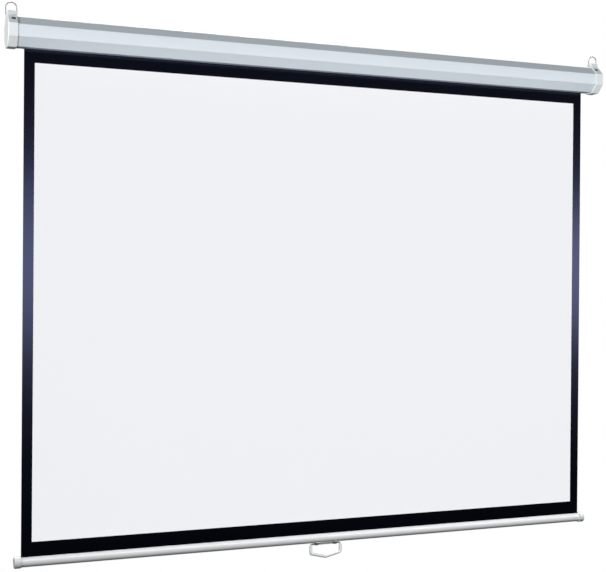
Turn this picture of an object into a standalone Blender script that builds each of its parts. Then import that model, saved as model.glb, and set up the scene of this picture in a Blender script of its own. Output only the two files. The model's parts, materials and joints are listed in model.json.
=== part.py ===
"""Manual pull down projector screen: a spring roller casing, a masked cloth, a bottom bar and a handle.

Metres, +Z up. X runs along the casing and the picture faces -Y. The origin lies on the wall that the backs
of both end caps touch, in the middle of the casing. The cloth is drawn all the way down.
"""
import math

import bmesh
import bpy
from mathutils import Matrix, Vector

# Picture and cloth
PICTURE_WIDTH = 1.707
PICTURE_HEIGHT = 1.280
SIDE_MASK = 0.0285
TOP_MASK = 0.0355
BOTTOM_MASK = 0.0394
CLOTH_THICKNESS = 0.0004
WOUND_PITCH = 0.0008
WOUND_TURNS = 1.5

# Clearances
GAP = 0.0003
SIDE_PLAY = 0.0005

# Casing
CASING_FLATS = 0.078
CASING_WALL = 0.001
SLOT_WIDTH = 0.006
SLOT_LEDGE = 0.002
LIP_HEIGHT = 0.005

# End caps and their lugs
CAP_END_WALL = 0.003
CAP_SKIRT_DEPTH = 0.022
CAP_SKIRT_WALL = 0.0022
CAP_CHAMFER = 0.002
LUG_HEIGHT = 0.014
LUG_TOP_INSET = 0.0072
LUG_BASE_INSET = 0.0012
BOSS_RADIUS = 0.0095

# Cap screws
SCREW_RADIUS = 0.0015
SCREW_HEAD_RADIUS = 0.0032
SCREW_HEAD_HEIGHT = 0.002
SCREW_LENGTH = 0.0075
SCREW_INSET = 0.011

# Hanging bails
BAIL_WIRE_RADIUS = 0.0014
BAIL_STRAIGHT = 0.018
BAIL_BEND = 0.0022
BAIL_TAIL = 0.005
BAIL_PIVOT_RISE = 0.0048
NOTCH_HEIGHT = 0.0036
NOTCH_DEPTH = 0.006
NOTCH_DROP = 0.0012
NOTCH_LENGTH = 0.012

# Roller
ROLLER_RADIUS = 0.018
ROLLER_WALL = 0.001
ROLLER_MARGIN = 0.013
GROOVE_WIDTH = 0.0034
GROOVE_DEPTH = 0.004
SPLINE_RADIUS = 0.001
END_ROOM = 0.032

# Plugs and what turns in them
PLUG_DEPTH = 0.025
FLANGE_THICKNESS = 0.003
HUB_RADIUS = 0.0068
HUB_LENGTH = 0.020
IDLE_PIN_RADIUS = 0.003
IDLE_PIN_GRIP = 0.020
BUSH_RADIUS = 0.005
BUSH_LENGTH = 0.019
IDLE_BOSS_LENGTH = 0.022

# Spindle, spring and ratchet
SPINDLE_RADIUS = 0.004
SPINDLE_SHOULDER = 0.010
TANG_LENGTH = 0.0165
TANG_THICKNESS = 0.003
TANG_WIDTH = 0.007
SOCKET_BOSS_LENGTH = 0.014
SPRING_WIRE_RADIUS = 0.0008
SPRING_RADIUS = 0.0085
SPRING_TURNS = 18
SPRING_PITCH = 0.0165
ANCHOR_FLANGE = 0.003
ANCHOR_FLANGE_RADIUS = 0.0105
SUPPORT_LENGTH = 0.012
RATCHET_RADIUS = 0.009
PAWL_THICKNESS = 0.004
PAWL_PIVOT_RADIUS = 0.013
PAWL_LENGTH = 0.008
PAWL_HEEL_RADIUS = 0.0024
PAWL_NOSE_RADIUS = 0.0014
PAWL_OPEN_DEG = 30.0
PAWL_SWING_DEG = 24.5
NOTCH_CLEARANCE = 0.0006
PAWL_COUNT = 2
PIN_RADIUS = 0.0012
PIN_HEAD_RADIUS = 0.0021
PIN_HEAD_HEIGHT = 0.0008
PIN_GRIP = 0.006
CLIP_THICKNESS = 0.0008
CLIP_RADIUS = 0.0062
CLIP_GROOVE_DEPTH = 0.0006
CLIP_MOUTH_DEG = 80.0

# Bottom bar
BAR_RADIUS = 0.01325
BAR_WALL = 0.001
BAR_SLOT = 0.0022
BAR_OVERHANG = 0.0185
BAR_CAP_RADIUS = 0.0155
BAR_CAP_END_WALL = 0.003
BAR_CAP_ROUNDING = 0.003
BAR_CAP_DISH = 0.001
HEM_ROD_RADIUS = 0.003
HEM_MOUTH_DEG = 20.0

# Pull handle and its straps
HANDLE_WIDTH = 0.103
HANDLE_SIDE_DROP = 0.0237
HANDLE_POINT_DROP = 0.0435
HANDLE_RADIUS = 0.0043
HANDLE_CORNER = 0.006
HANDLE_PIVOT_RADIUS = 0.0025
HANDLE_CLEARANCE = 0.0012
STRAP_WIDTH = 0.010
STRAP_THICKNESS = 0.001
STRAP_SPACING = 0.058
STRAP_WRAP_DEG = 40.0
RIVET_DEG = 28.0
RIVET_RADIUS = 0.0012
RIVET_HEAD_RADIUS = 0.0022
RIVET_HEAD_HEIGHT = 0.0009
RIVET_LENGTH = 0.0035

# Fineness of round pieces
ROUND = 24
FINE_ROUND = 36
SMALL_ROUND = 12
WOUND_STEPS = 54
SPRING_STEPS = 10
BAIL_STEPS = 14
BEND_STEPS = 3
CORNER_STEPS = 5
POINT_STEPS = 4
TAPER_STEPS = 3
STRAP_STEPS = 4
NOSE_STEPS = 6
HEEL_STEPS = 8

# Places that follow from the sizes
OCTAGON_SIDE = math.sqrt(2.0) - 1.0
CAP_FLATS = CASING_FLATS + 2 * (GAP + CAP_SKIRT_WALL)
AXIS_Y = -CAP_FLATS / 2
CASING_BOTTOM = -CASING_FLATS / 2
CLOTH_WIDTH = PICTURE_WIDTH + 2 * SIDE_MASK
SLOT_REAR = AXIS_Y + CASING_FLATS / 2 * OCTAGON_SIDE - SLOT_LEDGE
CLOTH_Y = SLOT_REAR - SLOT_WIDTH / 2
WOUND_START = ROLLER_RADIUS + GAP + CLOTH_THICKNESS / 2
WIND_RADIUS = WOUND_START + WOUND_TURNS * WOUND_PITCH + CLOTH_THICKNESS + GAP
ROLLER_Y = CLOTH_Y - WIND_RADIUS
ROLLER_AXIS = (ROLLER_Y, 0.0)
ROLLER_END = CLOTH_WIDTH / 2 + ROLLER_MARGIN
CAP_INSIDE = ROLLER_END + END_ROOM
CAP_OUTSIDE = CAP_INSIDE + CAP_END_WALL
CAP_MOUTH = CAP_INSIDE - CAP_SKIRT_DEPTH
LUG_TOP = CAP_FLATS / 2 + LUG_HEIGHT
LUG_TOP_DEPTH = CAP_FLATS * OCTAGON_SIDE - 2 * LUG_TOP_INSET
LUG_BASE_DEPTH = CAP_FLATS * OCTAGON_SIDE - 2 * LUG_BASE_INSET
PIVOT_HEIGHT = CAP_FLATS / 2 + BAIL_PIVOT_RISE
PICTURE_TOP = CASING_BOTTOM - TOP_MASK
PICTURE_BOTTOM = PICTURE_TOP - PICTURE_HEIGHT
BAR_AXIS = (CLOTH_Y, PICTURE_BOTTOM - BOTTOM_MASK - BAR_RADIUS)
BAR_END = CLOTH_WIDTH / 2 + BAR_OVERHANG
BAR_CAP_MOUTH = CLOTH_WIDTH / 2 + GAP
HANDLE_PIVOT = (CLOTH_Y, BAR_AXIS[1] - BAR_RADIUS - HANDLE_CLEARANCE - HANDLE_PIVOT_RADIUS)
BORE = SPINDLE_RADIUS + GAP
PLUG_RADIUS = ROLLER_RADIUS - ROLLER_WALL - GAP
PAWL_LAYER = FLANGE_THICKNESS + 2 * GAP
PAWL_TOP = PAWL_LAYER + PAWL_THICKNESS
SPRING_END = PLUG_DEPTH + GAP + SPRING_TURNS * SPRING_PITCH
ANCHOR_END = SPRING_END + 2 * GAP + 2 * SPRING_WIRE_RADIUS + ANCHOR_FLANGE


def clear_scene():
    """Empties the scene of every object."""
    for old in list(bpy.data.objects):
        bpy.data.objects.remove(old, do_unlink=True)


def material(name, colour, roughness, metallic=0.0):
    """One plain surface."""
    look = bpy.data.materials.new(name)
    look.use_nodes = True
    shader = look.node_tree.nodes["Principled BSDF"]
    shader.inputs["Base Color"].default_value = (*colour, 1.0)
    shader.inputs["Roughness"].default_value = roughness
    shader.inputs["Metallic"].default_value = metallic
    look.diffuse_color = (*colour, 1.0)
    return look


def solid(name, bm, look, origin=(0.0, 0.0, 0.0), smooth_deg=30.0):
    """Makes the object from a closed mesh in world places, with its origin where it turns."""
    bmesh.ops.recalc_face_normals(bm, faces=bm.faces)
    bmesh.ops.translate(bm, verts=bm.verts, vec=-Vector(origin))
    mesh = bpy.data.meshes.new(name)
    bm.to_mesh(mesh)
    bm.free()
    mesh.materials.append(look)
    mesh.shade_smooth()
    mesh.set_sharp_from_angle(angle=math.radians(smooth_deg))
    piece = bpy.data.objects.new(name, mesh)
    piece.location = origin
    bpy.context.scene.collection.objects.link(piece)
    return piece


def tube(name, points, radius, look, origin=(0.0, 0.0, 0.0), closed=False, radii=None, resolution=2):
    """A round wire or rod through world points, with filled ends."""
    curve = bpy.data.curves.new(name, "CURVE")
    curve.dimensions = "3D"
    curve.bevel_depth = radius
    curve.bevel_resolution = resolution
    curve.use_fill_caps = True
    spline = curve.splines.new("POLY")
    spline.points.add(len(points) - 1)
    for index, place in enumerate(points):
        spline.points[index].co = (*(Vector(place) - Vector(origin)), 1.0)
        spline.points[index].radius = radii[index] if radii else 1.0
    spline.use_cyclic_u = closed
    spline.use_smooth = True
    curve.materials.append(look)
    piece = bpy.data.objects.new(name, curve)
    piece.location = origin
    bpy.context.scene.collection.objects.link(piece)
    return piece


def cut(piece, bm, name):
    """Takes the shape in bm out of the piece."""
    tool = solid(name, bm, piece.data.materials[0])
    tool.hide_render = True
    tool.display_type = "WIRE"
    boolean = piece.modifiers.new(name, "BOOLEAN")
    boolean.operation = "DIFFERENCE"
    boolean.solver = "EXACT"
    boolean.object = tool


def fuse(piece, bm, name):
    """Adds the shape in bm to the piece."""
    tool = solid(name, bm, piece.data.materials[0])
    tool.hide_render = True
    tool.display_type = "WIRE"
    boolean = piece.modifiers.new(name, "BOOLEAN")
    boolean.operation = "UNION"
    boolean.solver = "EXACT"
    boolean.object = tool


def prism(outline, x_from, x_to):
    """A closed YZ outline pulled along X."""
    bm = bmesh.new()
    face = bm.faces.new([bm.verts.new((x_from, y, z)) for y, z in outline])
    pulled = bmesh.ops.extrude_face_region(bm, geom=[face])
    moved = [item for item in pulled["geom"] if isinstance(item, bmesh.types.BMVert)]
    bmesh.ops.translate(bm, verts=moved, vec=(x_to - x_from, 0.0, 0.0))
    return bm


def lofted(outlines, stations):
    """YZ outlines of as many points each, joined in a row along X and closed at both ends."""
    bm = bmesh.new()
    rings = []
    for outline, x in zip(outlines, stations):
        rings.append([bm.verts.new((x, y, z)) for y, z in outline])
    count = len(rings[0])
    for near, far in zip(rings, rings[1:]):
        for index in range(count):
            after = (index + 1) % count
            bm.faces.new((near[index], near[after], far[after], far[index]))
    bm.faces.new(rings[0])
    bm.faces.new(rings[-1])
    return bm


def turned(profile, centre, segments=ROUND, closed=True):
    """An (x, radius) profile spun round the X line through centre, closed where the piece has a bore."""
    bm = bmesh.new()
    points = [bm.verts.new((x, centre[0], centre[1] + radius)) for x, radius in profile]
    edges = [bm.edges.new(pair) for pair in zip(points, points[1:])]
    if closed:
        edges.append(bm.edges.new((points[-1], points[0])))
    bmesh.ops.spin(
        bm,
        geom=points + edges,
        cent=(0.0, centre[0], centre[1]),
        axis=(1.0, 0.0, 0.0),
        angle=math.tau,
        steps=segments,
        use_merge=True,
    )
    bmesh.ops.remove_doubles(bm, verts=bm.verts, dist=0.000001)
    return bm


def rod(x_from, x_to, radius, centre, segments=ROUND):
    """A plain round rod along X."""
    profile = [(x_from, 0.0), (x_from, radius), (x_to, radius), (x_to, 0.0)]
    return turned(profile, centre, segments, closed=False)


def shifted(points, distance, closed):
    """The YZ path moved sideways by distance, with mitred corners."""
    moved = []
    count = len(points)
    for index, (y, z) in enumerate(points):
        normals = []
        if closed or index > 0:
            before = points[index - 1]
            normals.append(Vector((before[1] - z, y - before[0])).normalized())
        if closed or index < count - 1:
            after = points[(index + 1) % count]
            normals.append(Vector((z - after[1], after[0] - y)).normalized())
        mitre = sum(normals, Vector((0.0, 0.0))).normalized()
        reach = distance / mitre.dot(normals[0])
        moved.append((y + mitre.x * reach, z + mitre.y * reach))
    return moved


def bent_sheet(path, thickness, x_from, x_to, closed=False):
    """Sheet of even thickness that follows a YZ path and is pulled along X."""
    sides = [shifted(path, offset, closed) for offset in (thickness / 2, -thickness / 2)]
    bm = bmesh.new()
    rows = [[bm.verts.new((x, y, z)) for y, z in side] for side in sides for x in (x_from, x_to)]
    near_out, far_out, near_in, far_in = rows
    count = len(path)
    for index in range(count if closed else count - 1):
        after = (index + 1) % count
        bm.faces.new((near_out[index], near_out[after], far_out[after], far_out[index]))
        bm.faces.new((near_in[after], near_in[index], far_in[index], far_in[after]))
        bm.faces.new((near_in[index], near_in[after], near_out[after], near_out[index]))
        bm.faces.new((far_out[index], far_out[after], far_in[after], far_in[index]))
    if not closed:
        for index in (0, count - 1):
            bm.faces.new((near_in[index], near_out[index], far_out[index], far_in[index]))
    return bm


def arc(centre, radius, from_deg, to_deg, steps):
    """Points along a circle in a plane, both ends included."""
    points = []
    for step in range(steps + 1):
        angle = math.radians(from_deg + (to_deg - from_deg) * step / steps)
        points.append((centre[0] + radius * math.cos(angle), centre[1] + radius * math.sin(angle)))
    return points


def octagon(flats):
    """Corners of a regular octagon across its flats round the casing's centre line, from below the rear."""
    half = flats / 2
    corner = half * OCTAGON_SIDE
    places = [
        (corner, -half), (half, -corner), (half, corner), (corner, half),
        (-corner, half), (-half, corner), (-half, -corner), (-corner, -half),
    ]
    return [(AXIS_Y + y, z) for y, z in places]


def radial_stud(x, centre, angle_deg, start, profile, segments=SMALL_ROUND):
    """A turned stud that points away from an X line; profile is (height, radius) from start outwards."""
    bm = turned([(height, radius) for height, radius in profile], (0.0, 0.0), segments, closed=False)
    outward = math.radians(angle_deg)
    direction = Vector((0.0, math.cos(outward), math.sin(outward)))
    turn = Vector((1.0, 0.0, 0.0)).rotation_difference(direction).to_matrix().to_4x4()
    foot = Vector((x, centre[0], centre[1])) + direction * start
    bmesh.ops.transform(bm, matrix=Matrix.Translation(foot) @ turn, verts=bm.verts)
    return bm


def merged(parts):
    """Several separate shapes in one mesh, for cutting."""
    joined = bmesh.new()
    for part in parts:
        lump = bpy.data.meshes.new("lump")
        part.to_mesh(lump)
        part.free()
        joined.from_mesh(lump)
        bpy.data.meshes.remove(lump)
    return joined


def screw_places():
    """Where the cap screws stand: each end, on the upper and the lower rear facet."""
    x = CAP_MOUTH + SCREW_INSET
    return [
        ("cap_screw_left_upper", -x, 45.0), ("cap_screw_left_lower", -x, -45.0),
        ("cap_screw_right_upper", x, 45.0), ("cap_screw_right_lower", x, -45.0),
    ]


def screw_holes(side=None):
    """Clearance holes for the cap screws, at both ends or at one."""
    reach = CAP_FLATS / 2 + SCREW_HEAD_HEIGHT
    hole = [(0.0, 0.0), (0.0, SCREW_RADIUS + GAP), (reach, SCREW_RADIUS + GAP), (reach, 0.0)]
    places = [place for place in screw_places() if side is None or place[1] * side > 0]
    start = CASING_FLATS / 2 - SCREW_LENGTH
    return merged([radial_stud(x, (AXIS_Y, 0.0), angle, start, hole) for _, x, angle in places])


def build_casing():
    """Roll formed steel shell, open along a lipped slot under the rear."""
    half = CASING_FLATS / 2 - CASING_WALL / 2
    corners = octagon(2 * half)
    rear = SLOT_REAR + CASING_WALL / 2
    front = SLOT_REAR - SLOT_WIDTH - CASING_WALL / 2
    lip_top = CASING_BOTTOM + LIP_HEIGHT
    path = [(rear, lip_top), (rear, -half), *corners, (front, -half), (front, lip_top)]
    length = CAP_INSIDE - GAP
    shell = bent_sheet(path, CASING_WALL, -length, length)
    piece = solid("casing", shell, material("casing_white", (0.80, 0.82, 0.84), 0.42))
    cut(piece, screw_holes(), "casing_screw_holes")


def build_end_cap(name, side, look):
    """Moulded cup over the casing's end, with a lug on top for the bail and a boss for the roller."""
    lug = [
        (AXIS_Y + LUG_BASE_DEPTH / 2, CAP_FLATS / 2), (AXIS_Y + LUG_TOP_DEPTH / 2, LUG_TOP),
        (AXIS_Y - LUG_TOP_DEPTH / 2, LUG_TOP), (AXIS_Y - LUG_BASE_DEPTH / 2, CAP_FLATS / 2),
    ]
    outer = octagon(CAP_FLATS)
    outer = outer[:4] + lug + outer[4:]
    ends = (shifted(outer, CAP_CHAMFER, True), outer, outer)
    stations = (side * CAP_OUTSIDE, side * (CAP_OUTSIDE - CAP_CHAMFER), side * CAP_MOUTH)
    piece = solid(name, lofted(ends, stations), look)
    hollow = prism(octagon(CASING_FLATS + 2 * GAP), side * CAP_INSIDE, side * (CAP_MOUTH - CAP_END_WALL))
    cut(piece, hollow, name + "_hollow")
    cut(piece, screw_holes(side), name + "_screw_holes")
    hole = BAIL_WIRE_RADIUS + GAP
    depth = BAIL_TAIL + GAP
    pivot = (AXIS_Y, PIVOT_HEIGHT)
    outer_hole = rod(side * (CAP_OUTSIDE + GAP), side * (CAP_OUTSIDE - depth), hole, pivot, SMALL_ROUND)
    inner_hole = rod(side * (CAP_MOUTH - GAP), side * (CAP_MOUTH + depth), hole, pivot, SMALL_ROUND)
    cut(piece, outer_hole, name + "_outer_pivot_hole")
    cut(piece, inner_hole, name + "_inner_pivot_hole")
    return piece


def build_bail_notch(piece, name, x_open):
    """Slot under the right hand leg of a bail, through which the wire springs into the lug."""
    front = AXIS_Y - LUG_BASE_DEPTH / 2
    low = CAP_FLATS / 2 - NOTCH_DROP
    outline = [
        (front - NOTCH_DEPTH, low), (front + NOTCH_DEPTH, low),
        (front + NOTCH_DEPTH, low + NOTCH_HEIGHT), (front - NOTCH_DEPTH, low + NOTCH_HEIGHT),
    ]
    cut(piece, prism(outline, x_open, x_open - NOTCH_LENGTH), name)


def build_end_caps():
    """The spring side cap has a slotted socket for the spindle, the idle side cap a bored boss."""
    look = material("cap_white", (0.86, 0.87, 0.87), 0.48)
    left = build_end_cap("end_cap_left", -1, look)
    socket_face = -(CAP_INSIDE - SOCKET_BOSS_LENGTH)
    fuse(left, rod(-(CAP_INSIDE + CAP_END_WALL / 2), socket_face, BOSS_RADIUS, ROLLER_AXIS), "socket_boss")
    half_width = TANG_WIDTH / 2 + GAP
    half_thickness = TANG_THICKNESS / 2 + GAP
    slot = [
        (ROLLER_Y - half_width, -half_thickness), (ROLLER_Y + half_width, -half_thickness),
        (ROLLER_Y + half_width, half_thickness), (ROLLER_Y - half_width, half_thickness),
    ]
    socket_floor = -(ROLLER_END + SPINDLE_SHOULDER + TANG_LENGTH + GAP)
    cut(left, prism(slot, socket_floor, socket_face + GAP), "socket_slot")
    right = build_end_cap("end_cap_right", 1, look)
    root = CAP_INSIDE + CAP_END_WALL / 2
    boss_face = CAP_INSIDE - IDLE_BOSS_LENGTH
    floor = boss_face + BUSH_LENGTH + GAP
    bore = BUSH_RADIUS + GAP
    boss = [
        (root, 0.0), (root, BOSS_RADIUS), (boss_face, BOSS_RADIUS),
        (boss_face, bore), (floor, bore), (floor, 0.0),
    ]
    fuse(right, turned(boss, ROLLER_AXIS, closed=False), "idle_boss")
    build_bail_notch(left, "bail_notch_left", -CAP_MOUTH + GAP)
    build_bail_notch(right, "bail_notch_right", CAP_OUTSIDE + GAP)


def build_cap_screws():
    """Pan head screws that hold the caps on the casing."""
    look = material("screw_steel", (0.62, 0.63, 0.64), 0.30, 1.0)
    under_head = CAP_FLATS / 2 + GAP
    start = CASING_FLATS / 2 - SCREW_LENGTH
    shank = under_head - start
    head = shank + SCREW_HEAD_HEIGHT
    profile = [
        (0.0, 0.0), (SCREW_RADIUS, SCREW_RADIUS), (shank, SCREW_RADIUS), (shank, SCREW_HEAD_RADIUS),
        (head - SCREW_HEAD_HEIGHT / 2, SCREW_HEAD_RADIUS), (head, SCREW_HEAD_RADIUS / 2), (head, 0.0),
    ]
    for name, x, angle in screw_places():
        solid(name, radial_stud(x, (AXIS_Y, 0.0), angle, start, profile), look)


def build_bail(name, side):
    """Bent wire hanger whose tails turn in the lug."""
    near = CAP_MOUTH - SIDE_PLAY - BAIL_WIRE_RADIUS
    far = CAP_OUTSIDE + SIDE_PLAY + BAIL_WIRE_RADIUS
    middle = (near + far) / 2
    radius = (far - near) / 2
    low = (0.0, PIVOT_HEIGHT)
    top = PIVOT_HEIGHT + BAIL_STRAIGHT
    outline = [(near + BAIL_TAIL + SIDE_PLAY, low[1])]
    outline += arc((near + BAIL_BEND, PIVOT_HEIGHT + BAIL_BEND), BAIL_BEND, 270.0, 180.0, BEND_STEPS)
    outline += arc((middle, top), radius, 180.0, 0.0, BAIL_STEPS)
    outline += arc((far - BAIL_BEND, PIVOT_HEIGHT + BAIL_BEND), BAIL_BEND, 0.0, -90.0, BEND_STEPS)
    outline += [(far - BAIL_TAIL - SIDE_PLAY, low[1])]
    points = [(side * x, AXIS_Y, z) for x, z in outline]
    look = material("bail_steel", (0.50, 0.51, 0.52), 0.25, 1.0)
    tube(name, points, BAIL_WIRE_RADIUS, look, origin=(side * middle, AXIS_Y, PIVOT_HEIGHT))


def build_roller_tube():
    """Steel tube with a rolled groove that takes the cloth's end."""
    middle = ROLLER_RADIUS - ROLLER_WALL / 2
    half = GROOVE_WIDTH / 2 + ROLLER_WALL / 2
    edge = math.degrees(math.asin(half / middle))
    mouth = middle * math.cos(math.radians(edge))
    path = arc((ROLLER_Y, 0.0), middle, 180.0 + edge, 540.0 - edge, FINE_ROUND)
    path += [(ROLLER_Y - mouth + GROOVE_DEPTH, half), (ROLLER_Y - mouth + GROOVE_DEPTH, -half)]
    shell = bent_sheet(path, ROLLER_WALL, -ROLLER_END, ROLLER_END, closed=True)
    solid("roller_tube", shell, material("roller_steel", (0.58, 0.59, 0.60), 0.38, 1.0), (0.0, ROLLER_Y, 0.0))


def groove_relief(x_from, x_to):
    """Room for the roller's inward groove, to be cut out of what sits inside the tube."""
    outside = ROLLER_Y - ROLLER_RADIUS
    inside = outside + GROOVE_DEPTH + ROLLER_WALL + GAP
    half = GROOVE_WIDTH / 2 + ROLLER_WALL + GAP
    return prism([(outside, -half), (inside, -half), (inside, half), (outside, half)], x_from, x_to)


def build_cloth_spline():
    """Plastic rod that wedges the cloth's end in the roller's groove."""
    middle = ROLLER_RADIUS - ROLLER_WALL / 2
    floor = ROLLER_Y - middle + GROOVE_DEPTH - ROLLER_WALL / 2
    aside = GROOVE_WIDTH / 2 - GAP - SPLINE_RADIUS
    centre = (floor - GAP - SPLINE_RADIUS, -aside)
    bm = rod(-CLOTH_WIDTH / 2, CLOTH_WIDTH / 2, SPLINE_RADIUS, centre, SMALL_ROUND)
    solid("cloth_spline", bm, material("spline_plastic", (0.72, 0.72, 0.70), 0.5), (0.0, ROLLER_Y, 0.0))


def build_wound_cloth():
    """The cloth that stays on the roller: from the groove outwards to the rear, where it hangs free."""
    tail_height = GROOVE_WIDTH / 2 - GAP - CLOTH_THICKNESS / 2
    start_deg = 180.0 - math.degrees(math.asin(tail_height / WOUND_START))
    total_deg = start_deg + 360.0 * (WOUND_TURNS - 0.5)
    steps = int(WOUND_TURNS * WOUND_STEPS)
    tail = (ROLLER_Y - ROLLER_RADIUS + GROOVE_DEPTH / 2, tail_height)
    path = [tail]
    for step in range(steps + 1):
        share = step / steps
        angle = math.radians(start_deg - total_deg * share)
        radius = WOUND_START + WOUND_PITCH * WOUND_TURNS * share
        path.append((ROLLER_Y + radius * math.cos(angle), radius * math.sin(angle)))
    bm = bent_sheet(path, CLOTH_THICKNESS, -CLOTH_WIDTH / 2, CLOTH_WIDTH / 2)
    solid("cloth_on_roller", bm, material("cloth_white", (0.86, 0.87, 0.88), 0.85), (0.0, ROLLER_Y, 0.0))


def build_plugs():
    """Moulded plugs pressed in the roller's ends; the spring side one carries the pawls."""
    look = material("plug_plastic", (0.20, 0.21, 0.22), 0.5)
    flange = GAP + FLANGE_THICKNESS
    spring_side = [
        (flange, BORE), (flange, ROLLER_RADIUS), (GAP, ROLLER_RADIUS), (GAP, PLUG_RADIUS),
        (-PLUG_DEPTH, PLUG_RADIUS), (-PLUG_DEPTH, HUB_RADIUS), (-PLUG_DEPTH - HUB_LENGTH, HUB_RADIUS),
        (-PLUG_DEPTH - HUB_LENGTH, BORE),
    ]
    profile = [(-(ROLLER_END + x), radius) for x, radius in spring_side]
    plug = solid("spring_plug", turned(profile, ROLLER_AXIS), look, (0.0, ROLLER_Y, 0.0))
    for index in range(PAWL_COUNT):
        seat_open = ROLLER_END + flange + GAP
        seat_floor = ROLLER_END + flange - PIN_GRIP - GAP
        seat = rod(-seat_open, -seat_floor, PIN_RADIUS + GAP, pawl_pivot(index), SMALL_ROUND)
        cut(plug, seat, "pawl_pin_seat_%d" % (index + 1))
    mouth = ROLLER_END + GAP
    floor = ROLLER_END - PLUG_DEPTH - GAP
    cut(plug, groove_relief(-mouth, -floor), "spring_plug_relief")
    bore = IDLE_PIN_RADIUS + GAP
    idle_side = [
        (flange, bore), (flange, ROLLER_RADIUS), (GAP, ROLLER_RADIUS), (GAP, PLUG_RADIUS),
        (-PLUG_DEPTH, PLUG_RADIUS), (-PLUG_DEPTH, bore),
    ]
    profile = [(ROLLER_END + x, radius) for x, radius in idle_side]
    plug = solid("idle_plug", turned(profile, ROLLER_AXIS), look, (0.0, ROLLER_Y, 0.0))
    cut(plug, groove_relief(floor, mouth), "idle_plug_relief")


def build_idle_bearing():
    """The idle side pin turns with the roller in a bush that sits in the cap's boss."""
    steel = material("pin_steel", (0.60, 0.61, 0.62), 0.28, 1.0)
    boss_face = CAP_INSIDE - IDLE_BOSS_LENGTH
    pin_end = boss_face + BUSH_LENGTH
    pin = rod(ROLLER_END + GAP + FLANGE_THICKNESS - IDLE_PIN_GRIP, pin_end, IDLE_PIN_RADIUS, ROLLER_AXIS)
    solid("idle_pin", pin, steel, (0.0, ROLLER_Y, 0.0))
    inner = IDLE_PIN_RADIUS + GAP
    outline = [(boss_face, inner), (boss_face, BUSH_RADIUS), (pin_end, BUSH_RADIUS), (pin_end, inner)]
    nylon = material("bush_nylon", (0.82, 0.80, 0.74), 0.45)
    solid("idle_bush", turned(outline, ROLLER_AXIS), nylon)


def build_spindle():
    """Fixed steel arbor: a flat tang in the cap's socket, a round shoulder and a rod down the spring."""
    steel = material("spindle_steel", (0.55, 0.56, 0.57), 0.32, 1.0)
    shoulder = ROLLER_END + SPINDLE_SHOULDER
    groove = SPINDLE_RADIUS - CLIP_GROOVE_DEPTH
    clip_near = ROLLER_END + PAWL_TOP
    clip_far = clip_near + CLIP_THICKNESS + 2 * GAP
    inner_end = ROLLER_END - ANCHOR_END - SUPPORT_LENGTH - SIDE_PLAY
    profile = [
        (-shoulder, 0.0), (-shoulder, SPINDLE_RADIUS), (-clip_far, SPINDLE_RADIUS), (-clip_far, groove),
        (-clip_near, groove), (-clip_near, SPINDLE_RADIUS), (-inner_end, SPINDLE_RADIUS), (-inner_end, 0.0),
    ]
    piece = solid("spindle", turned(profile, ROLLER_AXIS, closed=False), steel)
    half_width = TANG_WIDTH / 2
    half_thickness = TANG_THICKNESS / 2
    flat = [
        (ROLLER_Y - half_width, -half_thickness), (ROLLER_Y + half_width, -half_thickness),
        (ROLLER_Y + half_width, half_thickness), (ROLLER_Y - half_width, half_thickness),
    ]
    fuse(piece, prism(flat, -(shoulder + TANG_LENGTH), -(shoulder - SIDE_PLAY)), "spindle_tang")


def pawl_pivot(index):
    """Where a pawl's pin stands in the spring plug: the first on top, the others spread evenly."""
    angle = math.radians(90.0 + 360.0 * index / PAWL_COUNT)
    return (ROLLER_Y + PAWL_PIVOT_RADIUS * math.cos(angle), PAWL_PIVOT_RADIUS * math.sin(angle))


def pawl_outline(index, swing_deg, growth=0.0):
    """Tapered lever round its pin and its nose, swung towards the ratchet and grown by a clearance."""
    heel = PAWL_HEEL_RADIUS + growth
    nose = PAWL_NOSE_RADIUS + growth
    lean = math.degrees(math.asin((PAWL_HEEL_RADIUS - PAWL_NOSE_RADIUS) / PAWL_LENGTH))
    pivot = pawl_pivot(index)
    point_deg = 180.0 + 360.0 * index / PAWL_COUNT + PAWL_OPEN_DEG + swing_deg
    reach = math.radians(point_deg)
    tip = (pivot[0] + PAWL_LENGTH * math.cos(reach), pivot[1] + PAWL_LENGTH * math.sin(reach))
    side = 90.0 - lean
    outline = arc(tip, nose, point_deg - side, point_deg + side, NOSE_STEPS)
    outline += arc(pivot, heel, point_deg + side, point_deg + 360.0 - side, HEEL_STEPS)
    return outline


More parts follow.
